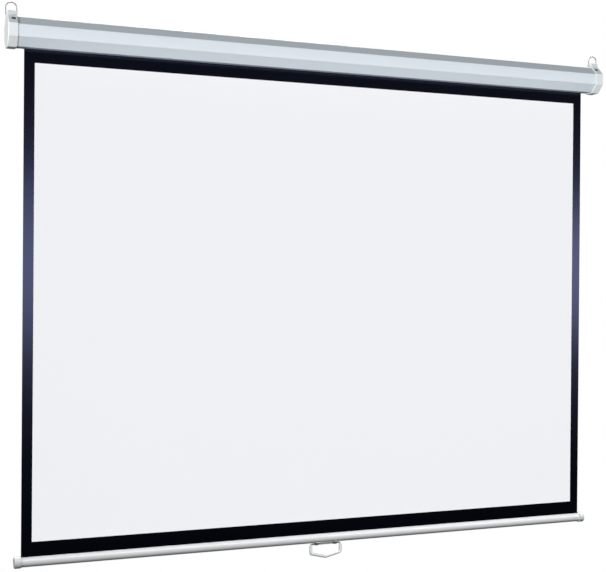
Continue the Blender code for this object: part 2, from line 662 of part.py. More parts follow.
def build_ratchet():
    """Fixed ratchet wheel on the spindle, a clip that keeps it there, and the pawls on the roller's plug."""
    wheel_steel = material("ratchet_steel", (0.52, 0.53, 0.55), 0.35, 1.0)
    near = ROLLER_END + PAWL_LAYER
    far = ROLLER_END + PAWL_TOP
    outline = [(-near, BORE), (-near, RATCHET_RADIUS), (-far, RATCHET_RADIUS), (-far, BORE)]
    wheel = solid("ratchet_wheel", turned(outline, ROLLER_AXIS, FINE_ROUND), wheel_steel)
    pin_steel = material("pawl_pin_steel", (0.60, 0.61, 0.62), 0.28, 1.0)
    pawl_steel = material("pawl_steel", (0.66, 0.60, 0.44), 0.35, 1.0)
    for index in range(PAWL_COUNT):
        notch = prism(pawl_outline(index, PAWL_SWING_DEG, NOTCH_CLEARANCE), -(near - GAP), -(far + GAP))
        cut(wheel, notch, "ratchet_notch_%d" % (index + 1))
        pivot = pawl_pivot(index)
        origin = (-(near + far) / 2, pivot[0], pivot[1])
        lever = prism(pawl_outline(index, 0.0), -near, -far)
        pawl = solid("pawl_%d" % (index + 1), lever, pawl_steel, origin)
        bore = rod(-(near - GAP), -(far + GAP), PIN_RADIUS + GAP, pivot, SMALL_ROUND)
        cut(pawl, bore, "pawl_bore_%d" % (index + 1))
        seat = ROLLER_END + GAP + FLANGE_THICKNESS - PIN_GRIP
        head = far + GAP
        profile = [
            (-seat, 0.0), (-seat, PIN_RADIUS), (-head, PIN_RADIUS), (-head, PIN_HEAD_RADIUS),
            (-(head + PIN_HEAD_HEIGHT), PIN_HEAD_RADIUS), (-(head + PIN_HEAD_HEIGHT), 0.0),
        ]
        pin = turned(profile, pivot, SMALL_ROUND, closed=False)
        solid("pawl_pin_%d" % (index + 1), pin, pin_steel, origin)
    inner = SPINDLE_RADIUS - CLIP_GROOVE_DEPTH + GAP
    middle = (inner + CLIP_RADIUS) / 2
    mouth = CLIP_MOUTH_DEG / 2
    path = arc(ROLLER_AXIS, middle, -90.0 + mouth, 270.0 - mouth, ROUND)
    clip_near = -(far + GAP)
    ring = bent_sheet(path, CLIP_RADIUS - inner, clip_near, clip_near - CLIP_THICKNESS)
    solid("retaining_clip", ring, material("clip_steel", (0.30, 0.31, 0.32), 0.35, 1.0))


def build_spring():
    """Torsion spring between the plug's hub and the anchor on the spindle."""
    steel = material("spring_steel", (0.42, 0.43, 0.45), 0.33, 1.0)
    points = []
    first = ROLLER_END - PLUG_DEPTH - GAP - SPRING_WIRE_RADIUS
    for step in range(SPRING_TURNS * SPRING_STEPS + 1):
        turn = step / SPRING_STEPS
        angle = math.tau * turn
        x = -(first - turn * SPRING_PITCH)
        points.append((x, ROLLER_Y + SPRING_RADIUS * math.cos(angle), SPRING_RADIUS * math.sin(angle)))
    tube("torsion_spring", points, SPRING_WIRE_RADIUS, steel, resolution=1)
    anchor_look = material("anchor_zinc", (0.56, 0.56, 0.55), 0.4, 1.0)
    end = ROLLER_END - ANCHOR_END
    face = end + ANCHOR_FLANGE
    outline = [
        (-end, BORE), (-end, ANCHOR_FLANGE_RADIUS), (-face, ANCHOR_FLANGE_RADIUS), (-face, HUB_RADIUS),
        (-(face + HUB_LENGTH), HUB_RADIUS), (-(face + HUB_LENGTH), BORE),
    ]
    solid("spring_anchor", turned(outline, ROLLER_AXIS), anchor_look)
    support = end - SIDE_PLAY
    outline = [
        (-support, BORE), (-support, PLUG_RADIUS), (-(support - SUPPORT_LENGTH), PLUG_RADIUS),
        (-(support - SUPPORT_LENGTH), BORE),
    ]
    nylon = material("support_nylon", (0.80, 0.78, 0.72), 0.45)
    bush = solid("spindle_bush", turned(outline, ROLLER_AXIS), nylon, (0.0, ROLLER_Y, 0.0))
    cut(bush, groove_relief(-(support + GAP), -(support - SUPPORT_LENGTH - GAP)), "spindle_bush_relief")


def cloth_panel(name, x_from, x_to, z_from, z_to, look):
    """A flat stretch of the hanging cloth."""
    path = [(CLOTH_Y, z_from), (CLOTH_Y, z_to)]
    solid(name, bent_sheet(path, CLOTH_THICKNESS, x_from, x_to), look)


def build_hanging_cloth():
    """The picture and the black border zones round it, which hang from the roller's rear."""
    half = PICTURE_WIDTH / 2
    edge = CLOTH_WIDTH / 2
    white = material("picture_white", (0.87, 0.88, 0.89), 0.85)
    black = material("mask_black", (0.006, 0.008, 0.014), 0.6)
    cloth_panel("screen_cloth", -half, half, PICTURE_TOP, PICTURE_BOTTOM, white)
    cloth_panel("mask_left", -edge, -half - GAP, PICTURE_TOP, PICTURE_BOTTOM, black)
    cloth_panel("mask_right", half + GAP, edge, PICTURE_TOP, PICTURE_BOTTOM, black)
    cloth_panel("mask_top", -edge, edge, 0.0, PICTURE_TOP + GAP, black)


def hem_centre():
    """Centre of the rod in the hem loop, which hangs the bar from its slotted crown."""
    loop = HEM_ROD_RADIUS + GAP + CLOTH_THICKNESS
    aside = loop - CLOTH_THICKNESS / 2
    reach = BAR_RADIUS - BAR_WALL - GAP - loop
    return (BAR_AXIS[0] + aside, BAR_AXIS[1] + math.sqrt(reach * reach - aside * aside))


def build_hem():
    """The lower border zone runs into the bar and is looped round the hem rod."""
    centre = hem_centre()
    radius = HEM_ROD_RADIUS + GAP + CLOTH_THICKNESS / 2
    path = [(CLOTH_Y, PICTURE_BOTTOM - GAP)]
    path += arc(centre, radius, 180.0, 540.0 - HEM_MOUTH_DEG, ROUND)
    black = material("hem_black", (0.006, 0.008, 0.014), 0.6)
    solid("mask_bottom", bent_sheet(path, CLOTH_THICKNESS, -CLOTH_WIDTH / 2, CLOTH_WIDTH / 2), black)
    pin = rod(-CLOTH_WIDTH / 2, CLOTH_WIDTH / 2, HEM_ROD_RADIUS, centre, SMALL_ROUND)
    solid("hem_rod", pin, material("rod_plastic", (0.70, 0.70, 0.68), 0.5))


def rivet_places():
    """Name, place along X and angle of each strap rivet."""
    places = []
    for side, word in ((-1, "left"), (1, "right")):
        for turn, face in ((-1, "front"), (1, "back")):
            name = "strap_rivet_%s_%s" % (word, face)
            places.append((name, side * STRAP_SPACING / 2, -90.0 + turn * RIVET_DEG))
    return places


def rivet_holes():
    """Holes for the rivets, right through a strap and the bar's wall."""
    start = BAR_RADIUS - RIVET_LENGTH
    reach = 2 * RIVET_LENGTH
    hole = [(0.0, 0.0), (0.0, RIVET_RADIUS + GAP), (reach, RIVET_RADIUS + GAP), (reach, 0.0)]
    return [(name, radial_stud(x, BAR_AXIS, angle, start, hole)) for name, x, angle in rivet_places()]


def build_bar():
    """Round steel bar with a slot along its crown for the hem."""
    middle = BAR_RADIUS - BAR_WALL / 2
    edge = math.degrees(math.asin((BAR_SLOT / 2) / middle))
    path = arc(BAR_AXIS, middle, 90.0 + edge, 450.0 - edge, FINE_ROUND)
    length = BAR_END - BAR_CAP_END_WALL - GAP
    look = material("bar_white", (0.80, 0.81, 0.82), 0.40)
    piece = solid("bottom_bar", bent_sheet(path, BAR_WALL, -length, length), look)
    cut(piece, merged([hole for _, hole in rivet_holes()]), "bar_rivet_holes")


def build_bar_cap(name, side, look):
    """Moulded cup over the bar's end, with a rounded rim and a dished face."""
    inner = BAR_RADIUS + GAP
    floor = BAR_END - BAR_CAP_END_WALL
    profile = [(BAR_CAP_MOUTH, inner), (BAR_CAP_MOUTH, BAR_CAP_RADIUS)]
    corner = (BAR_END - BAR_CAP_ROUNDING, BAR_CAP_RADIUS - BAR_CAP_ROUNDING)
    profile += arc(corner, BAR_CAP_ROUNDING, 90.0, 0.0, BEND_STEPS)
    dish = BAR_CAP_RADIUS - BAR_CAP_ROUNDING - BAR_CAP_DISH
    profile += [(BAR_END, dish), (BAR_END - BAR_CAP_DISH, dish - BAR_CAP_DISH), (BAR_END - BAR_CAP_DISH, 0.0)]
    profile = [(floor, 0.0), (floor, inner)] + profile
    solid(name, turned([(side * x, radius) for x, radius in profile], BAR_AXIS, closed=False), look)


def build_handle():
    """Six sided pull handle: a closed ring whose slimmer top rod turns in the straps."""
    half = HANDLE_WIDTH / 2 - HANDLE_RADIUS
    side_low = -HANDLE_SIDE_DROP
    point_low = -HANDLE_POINT_DROP + HANDLE_RADIUS
    slope_deg = math.degrees(math.atan2(side_low - point_low, half))
    r = HANDLE_CORNER
    slope = math.radians(slope_deg)
    lower_centre = (half - r, side_low + r * math.tan(slope / 2))
    point_centre = (0.0, point_low + r / math.cos(slope))
    upper = arc((half - r, -r), r, 90.0, 0.0, CORNER_STEPS)
    lower = arc(lower_centre, r, 0.0, -90.0 + slope_deg, CORNER_STEPS)
    bottom = arc(point_centre, r, -90.0 + slope_deg, -90.0 - slope_deg, POINT_STEPS)
    right = upper + lower
    left = [(-x, z) for x, z in reversed(right)]
    neck = half - r - HANDLE_RADIUS
    outline = [(neck, 0.0)] + right + bottom + left + [(-neck, 0.0)]
    slim = HANDLE_PIVOT_RADIUS / HANDLE_RADIUS
    radii = [slim] + [slim + (1.0 - slim) * min(step / TAPER_STEPS, 1.0) for step in range(len(right))]
    radii += [1.0] * len(bottom)
    radii += list(reversed(radii[:len(right) + 1]))
    points = [(x, HANDLE_PIVOT[0], HANDLE_PIVOT[1] + z) for x, z in outline]
    look = material("handle_grey", (0.74, 0.75, 0.76), 0.35)
    origin = (0.0, *HANDLE_PIVOT)
    tube("pull_handle", points, HANDLE_RADIUS, look, origin, closed=True, radii=radii, resolution=3)


def build_straps():
    """Steel straps that hold the handle's rod under the bar, riveted in front and behind."""
    look = material("strap_steel", (0.66, 0.67, 0.68), 0.36, 1.0)
    seat = BAR_RADIUS + GAP + STRAP_THICKNESS / 2
    loop = HANDLE_PIVOT_RADIUS + GAP + STRAP_THICKNESS / 2
    meet = math.degrees(math.asin(loop / seat))
    path = arc(BAR_AXIS, seat, -90.0 - STRAP_WRAP_DEG, -90.0 - meet, STRAP_STEPS)
    path += arc(HANDLE_PIVOT, loop, 180.0, 360.0, 2 * STRAP_STEPS)
    path += arc(BAR_AXIS, seat, -90.0 + meet, -90.0 + STRAP_WRAP_DEG, STRAP_STEPS)
    for side, word in ((-1, "left"), (1, "right")):
        x = side * STRAP_SPACING / 2
        band = bent_sheet(path, STRAP_THICKNESS, x - STRAP_WIDTH / 2, x + STRAP_WIDTH / 2)
        strap = solid("handle_strap_" + word, band, look)
        holes = [hole for name, hole in rivet_holes() if word in name]
        cut(strap, merged(holes), "strap_holes_" + word)


def build_rivets():
    """Blind rivets through the straps and the bar's wall."""
    look = material("rivet_steel", (0.60, 0.61, 0.62), 0.3, 1.0)
    under_head = BAR_RADIUS + 2 * GAP + STRAP_THICKNESS
    start = under_head - RIVET_LENGTH
    top = RIVET_LENGTH + RIVET_HEAD_HEIGHT
    profile = [
        (0.0, 0.0), (0.0, RIVET_RADIUS), (RIVET_LENGTH, RIVET_RADIUS), (RIVET_LENGTH, RIVET_HEAD_RADIUS),
        (top - RIVET_HEAD_HEIGHT / 2, RIVET_HEAD_RADIUS), (top, RIVET_HEAD_RADIUS / 2), (top, 0.0),
    ]
    for name, x, angle in rivet_places():
        solid(name, radial_stud(x, BAR_AXIS, angle, start, profile), look)


def steady_shading():
    """Lets the large faces rule the shading of every piece that has been cut or joined."""
    for piece in bpy.data.objects:
        if piece.modifiers:
            piece.modifiers.new("steady_shading", "WEIGHTED_NORMAL").keep_sharp = True


def main():
    """Builds the whole screen."""
    clear_scene()
    build_casing()
    build_end_caps()
    build_cap_screws()
    build_bail("bail_left", -1)
    build_bail("bail_right", 1)
    build_roller_tube()
    build_cloth_spline()
    build_wound_cloth()
    build_plugs()
    build_idle_bearing()
    build_spindle()
    build_ratchet()
    build_spring()
    build_hanging_cloth()
    build_hem()
    build_bar()
    cap_look = material("bar_cap_white", (0.84, 0.85, 0.86), 0.45)
    build_bar_cap("bar_cap_left", -1, cap_look)
    build_bar_cap("bar_cap_right", 1, cap_look)
    build_handle()
    build_straps()
    build_rivets()
    steady_shading()


main()
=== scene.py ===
# %% [markdown]
# # A pull down projector screen
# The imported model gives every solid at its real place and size: a long eight sided casing, the spring
# roller in it, the cloth that hangs from the roller, and the round bar and handle at the bottom.
# This lesson dresses that frame. Each cell makes one piece or one finish, says what it is on the real
# screen, and prints what it made. The frame itself never changes.

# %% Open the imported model
import json
import math

import bmesh
import bpy
import numpy as np
from mathutils import Matrix, Vector

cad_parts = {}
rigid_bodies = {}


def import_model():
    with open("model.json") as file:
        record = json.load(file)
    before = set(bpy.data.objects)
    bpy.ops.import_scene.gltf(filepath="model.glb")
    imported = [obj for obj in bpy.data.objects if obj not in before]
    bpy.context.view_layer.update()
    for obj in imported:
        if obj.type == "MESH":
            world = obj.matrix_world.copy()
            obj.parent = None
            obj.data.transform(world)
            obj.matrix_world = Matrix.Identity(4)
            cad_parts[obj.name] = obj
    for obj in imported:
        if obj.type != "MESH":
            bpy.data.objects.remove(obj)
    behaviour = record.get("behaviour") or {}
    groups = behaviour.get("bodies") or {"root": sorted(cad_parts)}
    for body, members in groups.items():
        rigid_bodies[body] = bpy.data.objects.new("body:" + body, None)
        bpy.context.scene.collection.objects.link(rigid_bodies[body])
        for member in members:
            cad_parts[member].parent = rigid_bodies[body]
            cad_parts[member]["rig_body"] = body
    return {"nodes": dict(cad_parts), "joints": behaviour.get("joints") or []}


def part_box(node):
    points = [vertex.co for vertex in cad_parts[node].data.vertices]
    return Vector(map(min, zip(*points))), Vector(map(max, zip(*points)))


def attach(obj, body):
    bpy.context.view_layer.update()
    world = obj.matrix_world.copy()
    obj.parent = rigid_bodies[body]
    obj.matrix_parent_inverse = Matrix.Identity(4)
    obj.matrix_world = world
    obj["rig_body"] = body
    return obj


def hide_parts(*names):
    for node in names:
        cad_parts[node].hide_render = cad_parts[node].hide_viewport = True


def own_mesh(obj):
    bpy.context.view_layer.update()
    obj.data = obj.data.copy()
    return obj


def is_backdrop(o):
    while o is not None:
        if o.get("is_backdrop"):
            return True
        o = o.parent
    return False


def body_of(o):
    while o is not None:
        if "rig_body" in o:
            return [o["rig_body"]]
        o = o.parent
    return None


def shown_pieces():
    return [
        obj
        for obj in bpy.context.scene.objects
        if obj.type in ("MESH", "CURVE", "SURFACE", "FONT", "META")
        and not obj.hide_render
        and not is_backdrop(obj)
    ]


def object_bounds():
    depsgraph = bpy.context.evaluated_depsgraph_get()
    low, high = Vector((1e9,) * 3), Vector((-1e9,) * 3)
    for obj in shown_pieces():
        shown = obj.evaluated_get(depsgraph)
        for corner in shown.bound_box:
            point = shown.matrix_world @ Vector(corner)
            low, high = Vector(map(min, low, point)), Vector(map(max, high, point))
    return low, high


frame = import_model()
joints = {joint["name"]: joint for joint in frame["joints"]}
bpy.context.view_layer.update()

# %% [markdown]
# ## The camera
# The picture was taken from the left of the screen, at about the height of its middle and looking almost
# level, which keeps the uprights almost upright. A pinhole camera fitted to the picture's four corners gives
# the place, the turn and the focal length in pixels, so a reader can repeat it with any other photograph.

# %% Put the camera where the photographer stood
IMAGE_WIDTH = 606
FOCAL_PIXELS = 1157.6
CAMERA_PLACE = (-1.333, -3.1692, -0.6501)
CAMERA_TURN_DEG = {"yaw": -21.795, "pitch": -0.268, "roll": -0.434}

yaw, pitch, roll = (Matrix.Rotation(math.radians(CAMERA_TURN_DEG[name]), 3, axis)
                    for name, axis in (("yaw", "Z"), ("pitch", "X"), ("roll", "Y")))
facing = yaw @ pitch @ roll
lens = bpy.data.cameras.new("photo_lens")
lens.sensor_width = 36.0
lens.lens = FOCAL_PIXELS / IMAGE_WIDTH * lens.sensor_width
lens.clip_start = 0.05
lens.clip_end = 100.0
camera = bpy.data.objects.new("photo_camera", lens)
level = Matrix.Rotation(math.radians(90.0), 3, "X")
camera.matrix_world = Matrix.Translation(CAMERA_PLACE) @ (facing @ level).to_4x4()
bpy.context.scene.collection.objects.link(camera)
bpy.context.scene.camera = camera
print("lens %.2f mm" % lens.lens)

# %% [markdown]
# ## Shader sums as plain Python
# A finish is easier to read as a formula than as a tangle of nodes. One small class holds an output
# socket. Its operators add Math nodes, and one method adds any other node, so `0.4 + 0.1 * speckle` is a
# sum that Python writes into the shader.


# %% A wire that can be added and multiplied
class Wire:
    """One output socket of a shader's node. Sums of wires and numbers add Math nodes."""

    def __init__(self, tree, socket=None):
        self.tree = tree
        self.socket = socket

    def node(self, kind, settings=None, inputs=None, output=0):
        """Adds one node: its settings first, then its sockets' values or wires."""
        made = self.tree.nodes.new("ShaderNode" + kind)
        for key, value in (settings or {}).items():
            setattr(made, key, value)
        for key, value in (inputs or {}).items():
            if isinstance(value, Wire):
                self.tree.links.new(value.socket, made.inputs[key])
            else:
                made.inputs[key].default_value = value
        return Wire(self.tree, made.outputs[output])

    def maths(self, operation, first, second=0.0):
        return self.node("Math", {"operation": operation}, {0: first, 1: second})

    def __add__(self, other):
        return self.maths("ADD", self, other)

    def __mul__(self, other):
        return self.maths("MULTIPLY", self, other)

    def __sub__(self, other):
        return self.maths("SUBTRACT", self, other)

    def __rsub__(self, other):
        return self.maths("SUBTRACT", other, self)

    __radd__ = __add__
    __rmul__ = __mul__

    def sine(self):
        return self.maths("SINE", self)

    def mix(self, first, second):
        """A colour between two others: the first where this wire is 0, the second where it is 1."""
        settings = {"data_type": "RGBA", "clamp_factor": True}
        return self.node("Mix", settings, {0: self, 6: first, 7: second}, output=2)


# %% [markdown]
# ## How a finish starts
# Every finish is one Principled shader. What is the same all over goes straight on the shader's own
# sockets. What changes over the surface is worked out from the place in the piece's own space, in metres,
# so that a speckle of one millimetre is one millimetre on every piece.


# %% Helpers that start a finish and read places
def start_finish(name, constants):
    """A new material, its shader, and a wire to start sums from. The constants go on the shader's sockets."""
    look = bpy.data.materials.new(name)
    look.use_nodes = True
    shader = look.node_tree.nodes["Principled BSDF"]
    for key, value in constants.items():
        shader.inputs[key].default_value = value
    return look, shader, Wire(look.node_tree)


def feed(shader, wire, socket):
    """Links a wire to one socket of the shader."""
    wire.tree.links.new(wire.socket, shader.inputs[socket])


def speckle(wire, size, detail, stretch=(1.0, 1.0, 1.0)):
    """Cloudy noise from 0 to 1, with lumps of the given size in metres, drawn out by stretch."""
    place = wire.node("TexCoord", output="Object")
    scale = tuple(1.0 / (size * share) for share in stretch)
    place = wire.node("Mapping", {}, {"Vector": place, "Scale": scale})
    return wire.node("TexNoise", {}, {"Vector": place, "Scale": 1.0, "Detail": detail, "Roughness": 0.55})


def relief(wire, height, depth):
    """A bump whose height runs from 0 to 1 over the given depth in metres."""
    return wire.node("Bump", {}, {"Height": height, "Distance": depth, "Strength": 1.0})


def opaque(colour, share=1.0):
    """A colour darkened or lightened by one share, with full alpha."""
    return tuple(min(channel * share, 1.0) for channel in colour) + (1.0,)


# %% [markdown]
# ## White powder coat
# The casing and the bar are taken to be thin steel, sprayed with powder and baked. Up close such a coat has
# the soft dimples called orange peel, here about a millimetre and a half across and a few hundredths of one
# deep. Its gloss is taken to vary a little too.


# %% Make the powder coat
def powder_coat(name, colour, roughness, gloss):
    """Two whites mixed by broad clouds, a gloss that varies with fine ones, and orange peel as relief."""
    look, shader, wire = start_finish(name, {"Metallic": 0.0, "Coat Roughness": 0.12, "IOR": 1.48})
    broad = speckle(wire, 0.22, 3.0, (3.0, 1.0, 1.0))
    fine = speckle(wire, 0.006, 3.0)
    peel = speckle(wire, 0.0016, 1.0)
    feed(shader, broad.mix(opaque(colour, 0.985), opaque(colour, 1.015)), "Base Color")
    feed(shader, roughness - 0.05 + 0.1 * fine, "Roughness")
    feed(shader, gloss + 0.1 * broad, "Coat Weight")
    feed(shader, relief(wire, peel, 0.00003), "Normal")
    return look


casing_coat = powder_coat("casing_powder_coat", (0.715, 0.790, 0.850), 0.42, 0.80)
bar_coat = powder_coat("bar_powder_coat", (0.790, 0.805, 0.815), 0.38, 0.12)
print("powder coats:", casing_coat.name, bar_coat.name)

# %% [markdown]
# ## Moulded plastic
# The caps, the plugs and the handle are taken to be moulded. An etched mould leaves a fine even grain, the
# colour clouds very slightly where the plastic flowed, and handling polishes it in spots.


# %% Make the moulded plastics
def moulded(name, colour, roughness, grain=0.00002, polish=0.0):
    """Clouds of a slightly darker tone, a gloss that varies with them, and the mould's grain as relief."""
    constants = {"Metallic": 0.0, "IOR": 1.5, "Coat Weight": polish, "Coat Roughness": 0.08}
    look, shader, wire = start_finish(name, constants)
    flow = speckle(wire, 0.035, 3.0)
    spots = speckle(wire, 0.004, 3.0)
    texture = speckle(wire, 0.0005, 2.0)
    feed(shader, flow.mix(opaque(colour, 0.97), opaque(colour, 1.02)), "Base Color")
    feed(shader, roughness - 0.06 + 0.08 * flow + 0.05 * spots, "Roughness")
    feed(shader, relief(wire, texture, grain), "Normal")
    return look


cap_plastic = moulded("cap_plastic", (0.765, 0.802, 0.815), 0.36)
bar_cap_plastic = moulded("bar_cap_plastic", (0.70, 0.715, 0.73), 0.34)
handle_plastic = moulded("handle_plastic", (0.66, 0.68, 0.695), 0.26, 0.000008, 1.0)
plug_plastic = moulded("plug_plastic", (0.035, 0.038, 0.042), 0.45)
bush_nylon = moulded("bush_nylon", (0.62, 0.58, 0.49), 0.40)
rod_plastic = moulded("rod_plastic", (0.45, 0.45, 0.42), 0.48)
print("plastics made: 6")

# %% [markdown]
# ## Steel, drawn, rolled and plated
# Wire and rod are pulled through a die, which leaves fine lines along them. Zinc plating adds a soft
# clouded bloom, and galvanised sheet shows flat flakes of frozen zinc, about a centimetre across.


# %% Make the metals
def drawn_steel(name, colour, roughness, along="X", bloom=0.5):
    """Fine lines along one axis vary the gloss and stand up as relief; clouds of bloom vary the colour."""
    look, shader, wire = start_finish(name, {"Metallic": 1.0})
    stretch = tuple(60.0 if axis == along else 1.0 for axis in "XYZ")
    lines = speckle(wire, 0.00025, 2.0, stretch)
    cloud = speckle(wire, 0.006, 3.0)
    feed(shader, (bloom * cloud).mix(opaque(colour), opaque(colour, 0.72)), "Base Color")
    feed(shader, roughness - 0.08 + 0.1 * lines + 0.12 * cloud, "Roughness")
    feed(shader, relief(wire, lines, 0.000006), "Normal")
    return look


def galvanised(name, colour, roughness):
    """Flat flakes, each with its own tone and gloss, as on hot dipped sheet."""
    look, shader, wire = start_finish(name, {"Metallic": 1.0})
    place = wire.node("TexCoord", output="Object")
    flakes = wire.node("TexVoronoi", {"feature": "F1"}, {"Vector": place, "Scale": 110.0}, output="Color")
    tone = wire.node("SeparateColor", {}, {"Color": flakes})
    feed(shader, tone.mix(opaque(colour, 0.78), opaque(colour, 1.1)), "Base Color")
    feed(shader, roughness - 0.08 + 0.16 * tone, "Roughness")
    feed(shader, relief(wire, tone, 0.00001), "Normal")
    return look


bail_wire = drawn_steel("bail_wire", (0.60, 0.61, 0.63), 0.24, "Z", 0.3)
screw_steel = drawn_steel("screw_steel", (0.58, 0.59, 0.61), 0.30)
pin_steel = drawn_steel("pin_steel", (0.56, 0.57, 0.58), 0.26)
spindle_steel = drawn_steel("spindle_steel", (0.50, 0.51, 0.52), 0.30)
ratchet_steel = drawn_steel("ratchet_steel", (0.46, 0.47, 0.49), 0.34, "Y")
pawl_steel = drawn_steel("pawl_steel", (0.62, 0.52, 0.28), 0.33, "Y", 0.8)
clip_steel = drawn_steel("clip_steel", (0.10, 0.105, 0.11), 0.36, "Y", 0.4)
spring_steel = drawn_steel("spring_steel", (0.30, 0.31, 0.33), 0.30, "Y", 0.7)
strap_steel = drawn_steel("strap_steel", (0.60, 0.61, 0.63), 0.34, "Y", 0.6)
anchor_zinc = galvanised("anchor_zinc", (0.50, 0.50, 0.49), 0.42)
roller_steel = galvanised("roller_steel", (0.55, 0.56, 0.58), 0.36)
print("metals made: 11")

# %% [markdown]
# ## Cloth
# Such a screen is often woven glass fibre with a white vinyl face, matt so that it has no hot spot, and its
# black border is printed on the same cloth. In the picture the black has a blue sheen that comes and goes
# down its length, so the ink is taken to be a little glossy. The weave follows the cloth, so it reads the
# cloth's own map and not its place in space.


# %% Make the white and the black cloth
WEAVE_PITCH = 0.0011


def woven(name, colour, roughness, size, depth, constants):
    """Threads both ways as the product of two sines over the cloth's own map, whose size is in metres."""
    look, shader, wire = start_finish(name, {"Metallic": 0.0, **constants})
    across = wire.node("UVMap")
    parts = wire.node("SeparateXYZ", {}, {"Vector": across})
    down = Wire(wire.tree, parts.socket.node.outputs["Y"])
    warp = (parts * (math.tau * size[0] / WEAVE_PITCH)).sine()
    weft = (down * (math.tau * size[1] / WEAVE_PITCH)).sine()
    threads = 0.5 + 0.5 * (warp * weft)
    broad = speckle(wire, 0.30, 2.0)
    feed(shader, broad.mix(opaque(colour, 0.995), opaque(colour, 1.004)), "Base Color")
    feed(shader, roughness - 0.02 + 0.04 * broad, "Roughness")
    feed(shader, relief(wire, threads, depth), "Normal")
    return look


CLOTH_WHITE = (0.880, 0.886, 0.909)
WOUND_WHITE = (0.83, 0.84, 0.855)
BORDER_INK = (0.0001, 0.0006, 0.0013)
FACE_RELIEF = 0.00002
FINE_RELIEF = 0.000006
ROUGHNESS_AND_SHINE = {
    "cloth_white": (0.92, {"Specular IOR Level": 0.12}),
    "cloth_black": (0.21, {"Specular IOR Level": 0.43, "Specular Tint": (0.46, 0.51, 1.0, 1.0)}),
}
print("weave pitch %.2f mm" % (WEAVE_PITCH * 1000))

# %% [markdown]
# ## Surfaces from arrays
# Nearly every piece here is a grid: rows along one direction, columns along the other, each point worked
# out by a formula. One function turns such an array into a mesh with a flat map of it, joins the points
# that fall together, and turns the faces outwards.


# %% Grid, mesh and piece helpers
SHARP_DEG = 32.0
MERGE_NEAR = 0.000002


def lay_grid(name, points, wrap=False, ends=False, outwards=True):
    """A mesh from an array of rows and columns of places. wrap joins the last column to the first, and ends
    closes the first and the last row. Its map runs from 0 to 1 both ways."""
    rows, columns = points.shape[:2]
    spans = columns if wrap else columns - 1
    row, column = np.meshgrid(np.arange(rows - 1), np.arange(spans), indexing="ij")
    corners = ((0, 0), (0, 1), (1, 1), (1, 0))
    faces = np.stack([(row + i) * columns + (column + j) % columns for i, j in corners], -1).reshape(-1, 4)
    flat = [np.stack([(column + j) / spans, (row + i) / (rows - 1)], -1) for i, j in corners]
    flat = np.stack(flat, 2).reshape(-1, 2)
    lids = [list(range(columns))[::-1], list(range((rows - 1) * columns, rows * columns))] if ends else []
    mesh = bpy.data.meshes.new(name)
    mesh.from_pydata(points.reshape(-1, 3).tolist(), [], faces.tolist() + lids)
    flat = np.concatenate([flat, np.zeros((sum(map(len, lids)), 2))])
    mesh.uv_layers.new(name="flat").data.foreach_set("uv", flat.astype(np.float32).ravel())
    work = bmesh.new()
    work.from_mesh(mesh)
    bmesh.ops.remove_doubles(work, verts=work.verts, dist=MERGE_NEAR)
    if outwards:
        bmesh.ops.recalc_face_normals(work, faces=work.faces)
    work.to_mesh(mesh)
    work.free()
    return mesh


def place_piece(mesh, smooth=True):
    """An object at the origin for a mesh that already stands where it belongs."""
    if smooth:
        mesh.shade_smooth()
        mesh.set_sharp_from_angle(angle=math.radians(SHARP_DEG))
    piece = bpy.data.objects.new(mesh.name, mesh)
    bpy.context.scene.collection.objects.link(piece)
    return piece


def dress(piece, look, body, slot, *nodes):
    """Gives a piece its finish, the body that it moves with, and the nodes that it stands for. Its slot is
    not used.
    """
    piece.data.materials.clear()
    piece.data.materials.append(look)
    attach(piece, body)
    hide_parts(*nodes)
    print("%-22s %6d faces, for %s" % (piece.name, len(piece.data.polygons), ", ".join(nodes)))


# %% [markdown]
# ## Bent sheet, turned parts and bent wire
# Three ways of making cover nearly all the rest. Sheet metal is a line with an even thickness, rounded at
# its bends and pulled along X. Turned parts are an outline spun round X. Wire is a circle carried along a
# path that lies in one upright plane.


# %% Outline helpers
def arc(centre, radius, from_deg, to_deg, steps):
    """Points along a circle: the centre plus the radius times the cosine and the sine of an even sweep."""
    angle = np.radians(np.linspace(from_deg, to_deg, steps + 1))
    return np.stack([centre[0] + radius * np.cos(angle), centre[1] + radius * np.sin(angle)], 1)


def rounded(path, radius, steps):
    """Every inner corner of an open path becomes an arc that touches both of its sides. The arc's spokes
    turn evenly from one side's square to the other's."""
    path = np.asarray(path, float)
    corner = path[1:-1]
    back = path[:-2] - corner
    ahead = path[2:] - corner
    back /= np.linalg.norm(back, axis=1)[:, None]
    ahead /= np.linalg.norm(ahead, axis=1)[:, None]
    half = np.arccos(np.clip((back * ahead).sum(1), -1, 1)) / 2
    reach = radius / np.tan(half)
    middle = back + ahead
    centre = corner + middle / np.linalg.norm(middle, axis=1)[:, None] * (radius / np.sin(half))[:, None]
    first = (corner + back * reach[:, None] - centre)[:, None]
    last = (corner + ahead * reach[:, None] - centre)[:, None]
    sweep = (math.pi - 2 * half)[:, None, None]
    share = np.linspace(0, 1, steps + 1)[None, :, None]
    spokes = (np.sin((1 - share) * sweep) * first + np.sin(share * sweep) * last) / np.sin(sweep)
    return np.concatenate([path[:1], (centre[:, None] + spokes).reshape(-1, 2), path[-1:]])


def sideways(path, distance):
    """An open path moved to its left by a distance: each point goes along the square to its two sides."""
    run = np.diff(path, axis=0)
    square = np.stack([-run[:, 1], run[:, 0]], 1) / np.linalg.norm(run, axis=1)[:, None]
    before = np.concatenate([square[:1], square])
    after = np.concatenate([square, square[-1:]])
    middle = before + after
    middle /= np.linalg.norm(middle, axis=1)[:, None]
    return path + middle * (distance / (middle * after).sum(1))[:, None]


